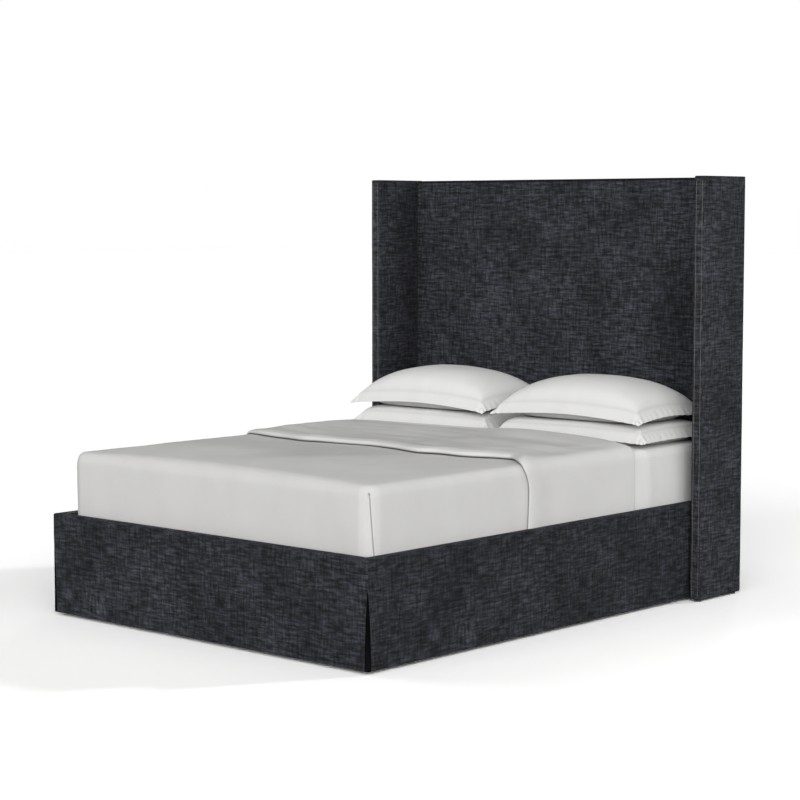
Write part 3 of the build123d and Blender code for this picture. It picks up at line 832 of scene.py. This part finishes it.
def fitted_sheet():
    """The fitted sheet, drawn tight, lifted a little unevenly, with small gathers low down its sides.
    """
    low, high = SHEET_LOW.copy(), SHEET_HIGH.copy()
    radius = high.x - SHOULDER_CORE
    deep = Vector((low.x, low.y, low.z - radius))
    bm = soft_box(low, high, BED_CELL, 0.0, ((0, 0, -1),))
    cut_shoulders(bm, low, high)
    lay_weave(bm)
    for vert in bm.verts:
        co = bed_form(vert.co, deep, high, radius)
        pull = SHEET_PULL * (1 + soft_noise(co.x * 5, co.y * 9, 5.0 + co.z * 3))
        gather = SHEET_GATHER * math.sin(co.y * GATHER_TURNS)
        gather *= smooth_step(GATHER_TOP, GATHER_LOW, co.z)
        out = Vector((co.x, 0, 0)).normalized() if abs(co.x) > high.x - SHOULDER else Vector()
        vert.co = co + Vector((0, 0, pull)) + out * gather
    return bm


SEAM_TOP = 0.6
SEAM_LOW = 0.39
SEAM_AT_TOP = 0.5 * MM
SEAM_AT_LOW = 26 * MM
SEAM_PIT = 4 * MM
SEAM_PIT_DEPTH = 3 * MM
SEAM_PIT_SHADE = 0.85
SEAM_FOLD_WIDTH = 1.8 * MM
SEAM_FOLD_DEPTH = 5 * MM
SEAM_LINE_WIDTH = 1.5 * MM
SEAM_LINE_SHADE = 0.75
SEAM_RIDGE_OFF = 7 * MM
SEAM_RIDGE_WIDTH = 5 * MM
SEAM_RIDGE = 1.6 * MM
COVER_SWELL = 2.2 * MM
COVER_RIPPLE = 1.2 * MM
# Cuts beside the corner seam, in millimetres
SEAM_CUTS = (-9, -4, -1.6, 0, 1.6, 4, 9)


def corner_seam(co):
    """Distance along the side from the sewn corner fold, which slants a little."""
    run = SEAM_AT_LOW + (SEAM_AT_TOP - SEAM_AT_LOW) * (co.z - SEAM_LOW) / (SEAM_TOP - SEAM_LOW)
    return co.y - (COVERLET_LOW.y + run)


def coverlet():
    """The coverlet, tucked at its foot end with a fold at each corner."""
    low, high = COVERLET_LOW.copy(), COVERLET_HIGH.copy()
    deep = Vector((low.x, low.y, low.z - SHOULDER))
    far = Vector((high.x, high.y + SHOULDER, high.z))
    bm = soft_box(low, high, BED_CELL, 0.0, ((0, 0, -1), (0, 1, 0)))
    cut_shoulders(bm, low, high)
    cut_every(bm, 2, (SEAM_TOP - SEAM_PIT, SEAM_TOP, SEAM_TOP + SEAM_PIT))
    slant = Vector((0, SEAM_TOP - SEAM_LOW, SEAM_AT_LOW - SEAM_AT_TOP)).normalized()
    middle = Vector((0, low.y + SEAM_AT_LOW, SEAM_LOW))
    for off in SEAM_CUTS:
        bmesh.ops.bisect_plane(bm, geom=bm.verts[:] + bm.edges[:] + bm.faces[:], dist=1e-6,
                               plane_co=middle + slant * off * MM, plane_no=slant)
    lay_weave(bm)
    seam = bm.verts.layers.float.new("seam")
    half = high.x
    for vert in bm.verts:
        flat = vert.co.copy()
        co = bed_form(flat, deep, far, SHOULDER)
        push = COVER_SWELL * soft_noise(co.x * 2.2, co.y * 3.1, co.z * 3)
        push += COVER_RIPPLE * soft_noise(co.x * 3, co.y * 11, 8.0 + co.z * 2)
        out = flat - Vector((min(max(flat.x, -half + SHOULDER), half - SHOULDER),
                             max(flat.y, low.y + SHOULDER), min(flat.z, high.z - SHOULDER)))
        out = out.normalized() if out.length > 1e-9 else Vector((0, 0, 1))
        if abs(flat.x) > half - 1e-6:
            off = corner_seam(flat)
            reach = smooth_step(SEAM_TOP + SEAM_PIT, SEAM_TOP - SEAM_PIT, flat.z)
            pit = groove(math.hypot(off, flat.z - SEAM_TOP), SEAM_PIT, 1.0)
            push -= reach * groove(off, SEAM_FOLD_WIDTH, SEAM_FOLD_DEPTH) + SEAM_PIT_DEPTH * pit
            push += reach * groove(off + SEAM_RIDGE_OFF, SEAM_RIDGE_WIDTH, SEAM_RIDGE)
            # Painted shade along the corner fold's line and in the pit at its top
            line = reach * groove(off, SEAM_LINE_WIDTH, SEAM_LINE_SHADE)
            vert[seam] = max(line, SEAM_PIT_SHADE * pit)
        vert.co = co + out * push
    return bm


# Where the folded band's foot edge lies: across the bed from its middle, and along the bed
BAND_EDGE = (
    (-1.04, -0.08), (-0.9, -0.08), (-0.8, -0.09), (-0.735, -0.105), (-0.62, -0.14),
    (-0.473, -0.165), (-0.346, -0.196), (-0.27, -0.188), (-0.155, -0.181), (-0.048, -0.171),
    (0.003, -0.166), (0.133, -0.181), (0.261, -0.209), (0.35, -0.182), (0.456, -0.174),
    (0.561, -0.136), (0.62, -0.13), (0.65, -0.126), (0.676, -0.138), (0.7, -0.157),
    (0.724, -0.177), (0.75, -0.194), (0.772, -0.199), (0.795, -0.193), (0.82, -0.182),
    (0.85, -0.174), (0.92, -0.175), (1.04, -0.183),
)
# How high the folded sheet stands at its head edge, across the bed
HEAD_PUFF = (
    (-0.83, 0.008), (-0.79, 0.012), (-0.705, 0.02), (-0.35, 0.018), (0.0, 0.019), (0.22, 0.031),
    (0.44, 0.03), (0.63, 0.026), (0.73, 0.017), (0.79, 0.01), (0.83, 0.008),
)
# Long soft ridges in it: points across and along the bed, then height
BAND_FOLDS = (
    (((-0.68, 0.17), (-0.47, 0.183), (-0.22, 0.243), (0.0, 0.28), (0.12, 0.3)), 0.009),
    (((-0.68, 0.4), (-0.34, 0.374), (-0.05, 0.4)), 0.006),
    (((0.0, 0.01), (0.185, 0.02), (0.47, 0.037), (0.7, 0.06)), 0.008),
    (((0.08, 0.24), (0.3, 0.22), (0.5, 0.2), (0.7, 0.19)), 0.007),
)
FOLD_RISE = 170 * MM
FOLD_FALL = 50 * MM
BAND_ROLL = 11 * MM
BAND_HUMP = 6 * MM
BAND_CREST = 35 * MM
BAND_SETTLE = 90 * MM
BAND_REST = 13 * MM
BAND_SIDE_REST = 3 * MM
BAND_UNDER = 50 * MM
BAND_GAP = 0.6 * MM
BAND_SWELL = 5 * MM
BAND_RIPPLE = 3 * MM
BAND_CELLS = (240, 195)
PUFF_RUN = 160 * MM
HEAD_TUCK = 26 * MM
HEAD_SHADE_FROM = 220 * MM
HEAD_SHADE_FULL = 60 * MM
RIDGES_FROM = 20 * MM
RIDGES_FULL = 110 * MM
HEAD_ROLL = 9 * MM
HEAD_SHADE = 0.07
LEFT_PUFF = 11 * MM
LEFT_PUFF_AT = -0.71
LEFT_PUFF_WIDTH = 90 * MM
LEFT_PUFF_FROM = 40 * MM
LEFT_PUFF_FULL = 200 * MM
SECTION_LOW = 330 * MM
SECTION_STEP = 12 * MM


def section_spot(run):
    """Place on the coverlet's section, at a distance across it from its middle."""
    half, top = COVERLET_HIGH.x, COVERLET_HIGH.z
    flat = half - SHOULDER
    angle = min(max(run - flat, 0.0) / SHOULDER, math.pi / 2)
    x = min(run, flat) + SHOULDER * math.sin(angle)
    z = top - SHOULDER * (1 - math.cos(angle)) - max(0.0, run - flat - SHOULDER * math.pi / 2)
    return Vector((x, soft_lower(z, dome(x, half, top), CROWN_BLEND)))


def bed_section(s):
    """Place and outward direction on the coverlet, at a distance s across it from its middle."""
    run, near = abs(s), SECTION_STEP
    here = section_spot(run)
    along = (section_spot(run + near) - section_spot(max(run - near, 0.0))).normalized()
    side = 1.0 if s >= 0 else -1.0
    return (side * here.x, here.y), (-side * along.y, along.x)


def band_fold(s, y):
    """How high the long soft ridges stand: each rises gently and drops steeply behind."""
    height = 0.0
    for points, high in BAND_FOLDS:
        share = (s - points[0][0]) / (points[-1][0] - points[0][0])
        fade = smooth_step(0.0, 0.25, share) * smooth_step(1.0, 0.75, share)
        off = y - along_points(points, s)
        height += fade * high * smooth_step(-FOLD_RISE, 0.0, off) * smooth_step(FOLD_FALL, 0.0, off)
    return height


def band_profile(distance, edge, head, roll, rest, ridge, puff):
    """The folded band lengthways: (place along the bed, height over the coverlet)."""
    if distance < BAND_UNDER:
        return edge + roll + (BAND_UNDER - distance), BAND_GAP
    distance -= BAND_UNDER
    if distance < math.pi * roll:
        angle = distance / roll
        return edge + roll * (1 - math.sin(angle)), BAND_GAP + roll * (1 - math.cos(angle))
    distance -= math.pi * roll
    run = head - HEAD_ROLL - edge - roll
    if distance < run:
        settle = rest + (2 * roll - rest) * math.exp(-(distance / BAND_SETTLE) ** 2)
        settle += BAND_HUMP * roll / BAND_ROLL * (distance / BAND_CREST) * math.exp(
            1 - distance / BAND_CREST)
        rise = settle + ridge + (puff - rest) * smooth_step(run - PUFF_RUN, run, distance)
        return edge + roll + distance, rise
    distance -= run
    angle = min(distance / HEAD_ROLL, math.pi / 2)
    down = max(0.0, distance - HEAD_ROLL * math.pi / 2)
    return (head - HEAD_ROLL * (1 - math.sin(angle)),
            puff - HEAD_ROLL * (1 - math.cos(angle)) - down)


def turndown():
    """The sheet folded back over the coverlet, its foot edge rolled and wavy, with painted shade under
    the roll and near the pillows.
    """
    half, top = COVERLET_HIGH.x, COVERLET_HIGH.z
    flat = half - SHOULDER
    reach = flat + SHOULDER * math.pi / 2 + top - SHOULDER - SECTION_LOW
    head = BAND_HIGH.y
    band_painted_shade = {}

    def spot(u, v):
        s = (2 * u - 1) * reach
        edge = along_points(BAND_EDGE, s)
        (x, z), (nx, nz) = bed_section(s)
        on_top = smooth_step(flat + SHOULDER, flat - SHOULDER, abs(s))
        on_shoulder = smooth_step(flat + 1.6 * SHOULDER, flat + 0.2 * SHOULDER, abs(s))
        left = smooth_step(-0.82, -0.6, s)
        roll = BAND_ROLL * (0.5 + 0.5 * on_shoulder) * (1 + 0.15 * soft_noise(s * 5, 2.0, 1.0))
        roll *= 0.6 + 0.4 * left
        rest = BAND_SIDE_REST + (BAND_REST - BAND_SIDE_REST) * on_shoulder
        length = BAND_UNDER + math.pi * roll + head - HEAD_ROLL - edge - roll
        length += HEAD_ROLL * math.pi / 2 + HEAD_TUCK
        distance = v * length
        y_plain = edge + max(0.0, distance - BAND_UNDER - math.pi * roll)
        fade = smooth_step(edge + RIDGES_FROM, edge + RIDGES_FULL, y_plain)
        ripple = soft_noise(s * 3, (y_plain + 0.1 * s) * 17, 6.0) - 1
        ridge = BAND_SWELL * soft_noise(s * 1.6, (y_plain + 0.16 * s) * 8.5, 3.0)
        ridge = on_top * fade * (ridge + BAND_RIPPLE * ripple + band_fold(s, y_plain))
        ridge += (groove(s - LEFT_PUFF_AT, LEFT_PUFF_WIDTH, LEFT_PUFF)
                  * smooth_step(edge + LEFT_PUFF_FROM, edge + LEFT_PUFF_FULL, y_plain)
                  * smooth_step(head, head - PUFF_RUN, y_plain))
        puff = along_points(HEAD_PUFF, s)
        y, lift = band_profile(distance, edge, head, roll, rest, ridge, puff)
        place = Vector((x + nx * lift, y, z + nz * lift - sunk(x, y)))
        # Painted shade: dark under the rolled edge where it meets the coverlet, and a little near the
        # pillows
        turned = max(0.0, distance - BAND_UNDER) / roll
        shaded = smooth_step(head - HEAD_SHADE_FROM, head - HEAD_SHADE_FULL, y)
        band_painted_shade[place.copy().freeze()] = max(smooth_step(1.45, 0.75, turned),
                                             HEAD_SHADE * shaded * on_top)
        return place

    length = BAND_UNDER + head - BAND_LOW.y + HEAD_TUCK
    bm = cloth_grid(*BAND_CELLS, spot, (2 * reach, length))
    mark_seams(bm, lambda co: band_painted_shade[co.copy().freeze()])
    return bm, (2 * reach, length)


class BED_OT_bedding(bpy.types.Operator):
    """Makes up the mattress with a fitted sheet, a coverlet and a sheet folded back"""
    bl_idname = "bed.bedding"
    bl_label = "Sheets and coverlet"

    def execute(self, context):
        foam = make_piece(comfort_foam(), "comfort_foam_pad", "foam", "mattress",
                          ["mattress_comfort_foam"])
        sheet = make_piece(fitted_sheet(), "fitted_sheet_cloth", "white_cotton", "mattress",
                           ["fitted_sheet"], SHEET_WALL, 1)
        cover = make_piece(coverlet(), "coverlet_cloth", "coverlet_cotton", "mattress",
                           ["coverlet"], COVERLET_WALL, 1)
        bm, flat = turndown()
        band = make_piece(bm, "turndown_cloth", "coverlet_cotton", "mattress", ["turndown"],
                          BAND_WALL)
        return {"FINISHED"}


# Pillows

FLANGE = 45 * MM
FLANGE_RUN = 29 * MM
PILLOW_DRAW = 9 * MM
RIM = 3 * MM
PILLOW_CELL = 12 * MM
PILLOW_HALF = (372.5 * MM, 240 * MM)
# Cuts across the flange and past its seam, from the edge, in millimetres
FLANGE_CUTS = (0.5, 8, 17, 26, 35, 42, 45, 48, 54, 62)
FLANGE_WAVE = 3 * MM
END_WAVE = 1.8 * MM
BODY_WAVE = 3 * MM
SEWN_SHADE = 0.13
SEWN_WIDTH = 2.5 * MM
SEAM_ROUNDS = 7
UNDER_EDGE = 20 * MM
GATHER = 34 * MM
SEAM_EASE = 18 * MM
# Painted shade on pillow undersides, away from their edges
UNDER_SHADE = 0.32


def flange_cuts(half):
    """Places to cut a pillow across: finer in its flange and at the seam."""
    inner = half - FLANGE_CUTS[-1] * MM
    cuts = [-half + cut * MM for cut in FLANGE_CUTS] + [half - cut * MM for cut in FLANGE_CUTS]
    return cuts + steps(-inner, inner, PILLOW_CELL)


def pulled_in(place, half):
    """Where a flat place lies across a pillow whose flange hangs down."""
    inward = half - abs(place)
    body_half = half - FLANGE_RUN
    if inward < FLANGE:
        run = half - FLANGE_RUN * inward / FLANGE
    else:
        run = body_half * abs(place) / (half - FLANGE)
    return math.copysign(run, place)


class Pillow:
    """The sizes of one kind of pillow."""

    def __init__(self, tip, arch, drop, full, press):
        self.tip, self.arch, self.drop = tip * MM, arch * MM, drop * MM
        self.full, self.press = full, press


def pillow(middle, low, high, kind, bed_falls, seed):
    """A flanged pillow between two heights: pointed hanging corners and a full body."""
    half_x, half_y = PILLOW_HALF
    bm = bmesh.new()
    bmesh.ops.create_cube(bm, size=1.0)
    bmesh.ops.scale(bm, vec=Vector((2 * half_x, 2 * half_y, 0.1)), verts=bm.verts)
    cut_every(bm, 0, flange_cuts(half_x))
    cut_every(bm, 1, flange_cuts(half_y))
    lay_weave(bm)
    seam = bm.verts.layers.float.new("seam")
    folds, by_seam = {}, []
    for vert in bm.verts:
        over = vert.co.z > 0
        a, b = vert.co.x / half_x, vert.co.y / half_y
        x = pulled_in(vert.co.x, half_x) - PILLOW_DRAW * a * (1 - b * b)
        y = pulled_in(vert.co.y, half_y) - PILLOW_DRAW * b * (1 - a * a)
        inward_x, inward_y = half_x - abs(vert.co.x), half_y - abs(vert.co.y)
        inward = min(inward_x, inward_y)
        corner = abs(a * b)
        rim = low + kind.tip + kind.arch * (1 - corner ** 1.8)
        share = min(1.0, max(0.0, inward / FLANGE))
        hang = rim + kind.drop * share ** 1.1
        z_seam = rim + kind.drop
        p = min(1.0, abs(vert.co.x) / (half_x - FLANGE)) ** 2.3
        q = min(1.0, abs(vert.co.y) / (half_y - FLANGE)) ** 2.5
        body = ((1 - p) * (1 - q)) ** kind.full
        if inward <= FLANGE + 1e-6:
            z = hang if over else hang - RIM
        elif over:
            z = z_seam + (high - z_seam) * body
            z -= kind.press * smooth_step(0.55, 0.95, body)
        else:
            falls = CROWN * ((middle.x + x) / COVERLET_HIGH.x) ** 2 if bed_falls else 0.0
            z = max(low - falls, z_seam - RIM - (z_seam - low) * 1.9 * body)
        edge_x = smooth_step(FLANGE * 1.6, 0.0, inward_x)
        edge_y = smooth_step(FLANGE * 1.6, 0.0, inward_y)
        swing = math.sin(2 * math.pi * vert.co.y / GATHER
                         + 2.5 * soft_noise(vert.co.y * 14, seed, 1.0))
        sway = math.sin(2 * math.pi * vert.co.x / GATHER
                        + 2.5 * soft_noise(vert.co.x * 14, seed, 2.0))
        fold = FLANGE_WAVE * swing * edge_x * (0.7 + 0.1 * corner)
        fold += END_WAVE * sway * edge_y * smooth_step(0.5, 0.95, corner)
        pucker = smooth_step(FLANGE * 3.2, FLANGE, inward) * smooth_step(0.55, 0.95, corner)
        fold += END_WAVE * (swing if inward_x < inward_y else sway) * pucker * (share >= 1.0)
        if share >= 1.0:
            fold += BODY_WAVE * soft_noise(x * 7 + seed, y * 8, seed) * min(1.0, body)
        folds[vert] = fold if over else (fold if share < 1.0 else 0.0)
        sewn = groove(inward - FLANGE, SEWN_WIDTH, SEWN_SHADE)
        # Darker along the sewn line, and painted shade on the undersides
        vert[seam] = sewn if over else max(sewn, UNDER_SHADE * smooth_step(0.0, UNDER_EDGE, inward))
        if over and abs(inward - FLANGE) < SEAM_EASE:
            by_seam.append(vert)
        vert.co = Vector((middle.x + x, middle.y + y, z))
    bm.normal_update()
    for vert, fold in folds.items():
        way = vert.normal if vert.normal.z > 0 else -vert.normal
        vert.co += way * fold
    for _ in range(SEAM_ROUNDS):
        bmesh.ops.smooth_vert(bm, verts=by_seam, factor=0.5, use_axis_x=True, use_axis_y=True,
                              use_axis_z=True)
    return bm


class BED_OT_pillows(bpy.types.Operator):
    """Lays two stacks of flanged pillows at the head of the bed"""
    bl_idname = "bed.pillows"
    bl_label = "Pillows"

    def execute(self, context):
        kinds = {"lower": Pillow(4, 6, 34, 0.24, 9 * MM), "upper": Pillow(5, 24, 34, 0.5, 0.0)}
        for level, kind in kinds.items():
            for number, side in enumerate(("right", "left")):
                low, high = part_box(f"pillow_{level}_{side}")
                top = high.z + (kind.press if level == "lower" else 0.0)
                bm = pillow((low + high) / 2, low.z, top, kind, level == "lower",
                            3.0 + 5 * number)
                piece = make_piece(bm, f"{level}_{side}_sham", "white_cotton",
                                   f"{level}_{side}_pillow", [f"pillow_{level}_{side}"], 0.0, 1)
        return {"FINISHED"}


# Frame and studio

class BED_OT_frame_finishes(bpy.types.Operator):
    """Gives the timber, board, foam, steel and nylon parts their finishes"""
    bl_idname = "bed.frame_finishes"
    bl_label = "Frame finishes"

    def execute(self, context):
        for row in frame["record"]["subparts"]:
            part = frame["nodes"][row["node"]]
            surface = finish(row["material_slot"])
            if part.hide_render:
                continue
            if part.material_slots:
                for place in part.material_slots:
                    place.material = surface
            else:
                part.data.materials.append(surface)
        return {"FINISHED"}


FLOOR_SIZE = 60.0
CAMERA_LENS = 96.15
CAMERA_PLACE = (5.54035, -6.16737, 1.52446)
CAMERA_HEIGHT = 5.0018
CAMERA_AZIMUTH = 41.956

# Lamps: name, direction from the foot towards the right, height, strength and width, in degrees
FRONT_LAMPS = (
    ("front lamp", 0.0, 20.0, 0.7, 45.0),
    ("corner lamp", 42.0, 20.0, 1.81, 45.0),
    ("side lamp", 85.0, 20.0, 0.53, 45.0),
)
BACK_LAMPS = (
    ("back right lamp", 150.0, 29.0, 0.58, 4.0),
    ("back left lamp", 210.0, 29.0, 0.15, 4.0),
    ("left lamp", 286.0, 45.0, 0.27, 20.0),
)
FRONT_TINT = (1.0, 0.995, 0.985)
BACK_TINT = (0.99, 0.995, 1.0)


def aimed(azimuth, height):
    """The turn of a lamp or camera that looks at the bed from a direction, in degrees."""
    return Euler((math.radians(90 - height), 0, math.radians(azimuth)))


def sun(name, azimuth, height, strength, angle, colour):
    """A wide soft lamp from a compass direction, measured from the foot towards the right."""
    lamp = bpy.data.lights.new(name, "SUN")
    lamp.energy = strength
    lamp.angle = math.radians(angle)
    lamp.color = colour
    holder = bpy.data.objects.new(name, lamp)
    holder.rotation_euler = aimed(azimuth, height)
    bpy.context.scene.collection.objects.link(holder)


def seen_or_lit(tree, lit, seen):
    """One surface for light, and another for what the camera, gloss and glass see."""
    path = knot(tree, "LightPath")
    rays = path.outputs["Is Camera Ray"]
    for kind in ("Is Glossy Ray", "Is Transmission Ray"):
        more = knot(tree, "Math", operation="MAXIMUM")
        tree.links.new(rays, more.inputs[0])
        tree.links.new(path.outputs[kind], more.inputs[1])
        rays = more.outputs[0]
    either = knot(tree, "MixShader")
    for number, socket in enumerate((rays, lit.outputs[0], seen.outputs[0])):
        tree.links.new(socket, either.inputs[number])
    return either.outputs[0]


def floor_material():
    """A white floor: the camera sees it bright, and it keeps its shadows."""
    look = bpy.context.scene.bed_studio
    material, tree, shader = blank("studio floor")
    tree.nodes.remove(shader)
    plain = knot(tree, "BsdfDiffuse", {"Color": (*look.floor, 1.0)})
    seen = knot(tree, "BsdfDiffuse", {"Color": (look.shade, look.shade, look.shade, 1.0)})
    surface = tree.nodes["Material Output"].inputs["Surface"]
    tree.links.new(seen_or_lit(tree, plain, seen), surface)
    return material


def studio_world():
    """Even light from all round, dimmer overhead, with a white backdrop where it is seen."""
    look = bpy.context.scene.bed_studio
    world = bpy.data.worlds.new("studio")
    world.use_nodes = True
    tree = world.node_tree
    tree.nodes.clear()
    place = knot(tree, "TexCoord").outputs["Generated"]
    height = knot(tree, "SeparateXYZ", {"Vector": place}).outputs["Z"]
    level = knot(tree, "MapRange", {"Value": height, "From Min": 0.0, "From Max": 1.0,
                                    "To Min": look.around, "To Max": look.overhead})
    light = knot(tree, "Background", {"Color": (1, 1, 1, 1), "Strength": level.outputs[0]})
    white = knot(tree, "Background", {"Color": (1, 1, 1, 1), "Strength": 1.0})
    knot(tree, "OutputWorld", {"Surface": seen_or_lit(tree, light, white)})
    bpy.context.scene.world = world


class BED_OT_studio(bpy.types.Operator):
    """Sets up the floor, the lights and the camera"""
    bl_idname = "bed.studio"
    bl_label = "Studio"

    def execute(self, context):
        look = context.scene.bed_studio
        bm = bmesh.new()
        bmesh.ops.create_grid(bm, x_segments=1, y_segments=1, size=FLOOR_SIZE)
        mesh = bpy.data.meshes.new("floor")
        bm.to_mesh(mesh)
        bm.free()
        mesh.materials.append(floor_material())
        floor = bpy.data.objects.new("floor", mesh)
        context.scene.collection.objects.link(floor)
        studio_world()
        for lamps, level, tint in ((FRONT_LAMPS, look.front_level, FRONT_TINT),
                                   (BACK_LAMPS, look.back_level, BACK_TINT)):
            for name, azimuth, height, strength, angle in lamps:
                sun(name, azimuth, height, strength * level, angle, tint)
        eye = bpy.data.cameras.new("camera")
        eye.lens = CAMERA_LENS
        holder = bpy.data.objects.new("camera", eye)
        holder.location = CAMERA_PLACE
        holder.rotation_euler = aimed(CAMERA_AZIMUTH, CAMERA_HEIGHT)
        context.scene.collection.objects.link(holder)
        context.scene.camera = holder
        context.scene.view_settings.view_transform = "Standard"
        return {"FINISHED"}


# Settings

def colour_setting(name, description, default):
    """A colour that a user may change."""
    return bpy.props.FloatVectorProperty(name=name, description=description, default=default,
                                         subtype="COLOR", size=3, min=0.0, max=1.0)


def length_setting(name, description, default):
    """A length that a user may change."""
    return bpy.props.FloatProperty(name=name, description=description, default=default,
                                   unit="LENGTH", min=0.0)


def level_setting(name, description, default):
    """A strength that a user may change."""
    return bpy.props.FloatProperty(name=name, description=description, default=default, min=0.0)


class BedUpholstery(bpy.types.PropertyGroup):
    """The linen"""
    linen: colour_setting("Linen", "Middle colour of the yarns", (0.0307, 0.0319, 0.037))
    dark_yarn: colour_setting("Dark yarn", "Darkest yarns", (0.0116, 0.0118, 0.0132))
    light_yarn: colour_setting("Light yarn", "Lightest yarns", (0.0595, 0.062, 0.074))
    slub_length: length_setting("Slub length", "How long a thick place in a yarn is", 0.064)
    slub_width: length_setting("Slub width", "How wide a thick place in a yarn is", 0.0105)


class BedBedding(bpy.types.PropertyGroup):
    """The bedding"""
    cotton: colour_setting("Cotton", "Colour of the fitted sheet and the pillows",
                           (0.831, 0.829, 0.824))
    coverlet_cotton: colour_setting("Coverlet cotton", "Colour of the coverlet and folded sheet",
                                    (0.717, 0.713, 0.705))


class BedStudio(bpy.types.PropertyGroup):
    """The studio"""
    floor: colour_setting("Floor", "Colour of the floor that lights the object", (0.45, 0.45, 0.45))
    shade: level_setting("Floor shade", "How bright the seen floor is under its light", 1.62)
    around: level_setting("Light around", "World light from the sides", 0.3)
    overhead: level_setting("Light overhead", "World light from above", 0.08)
    front_level: level_setting("Front lamps", "Level of the lamps in front and beside", 1.0)
    back_level: level_setting("Back lamps", "Level of the lamps behind and to the left", 1.0)


OPERATORS = (BED_OT_upholstery, BED_OT_skirt, BED_OT_dust_cover, BED_OT_bedding,
             BED_OT_pillows, BED_OT_frame_finishes, BED_OT_studio)


class BED_PT_panel(bpy.types.Panel):
    """Lists the bed's pieces and settings"""
    bl_idname = "BED_PT_panel"
    bl_label = "Wingback bed"
    bl_space_type = "VIEW_3D"
    bl_region_type = "UI"
    bl_category = "Bed"

    def draw(self, context):
        for operator in OPERATORS:
            self.layout.operator(operator.bl_idname)
        for group in (context.scene.bed_upholstery, context.scene.bed_bedding,
                      context.scene.bed_studio):
            for name in group.__annotations__:
                self.layout.prop(group, name)


GROUPS = {"bed_upholstery": BedUpholstery, "bed_bedding": BedBedding, "bed_studio": BedStudio}


def register():
    for name, group in GROUPS.items():
        bpy.utils.register_class(group)
        setattr(bpy.types.Scene, name, bpy.props.PointerProperty(type=group))
    for operator in OPERATORS:
        bpy.utils.register_class(operator)
    bpy.utils.register_class(BED_PT_panel)


def unregister():
    bpy.utils.unregister_class(BED_PT_panel)
    for operator in reversed(OPERATORS):
        bpy.utils.unregister_class(operator)
    for name, group in GROUPS.items():
        delattr(bpy.types.Scene, name)
        bpy.utils.unregister_class(group)


def main():
    register()
    bpy.ops.bed.studio()
    bpy.ops.bed.upholstery()
    bpy.ops.bed.skirt()
    bpy.ops.bed.dust_cover()
    bpy.ops.bed.bedding()
    bpy.ops.bed.pillows()
    bpy.ops.bed.frame_finishes()


if __name__ == "__main__":
    main()
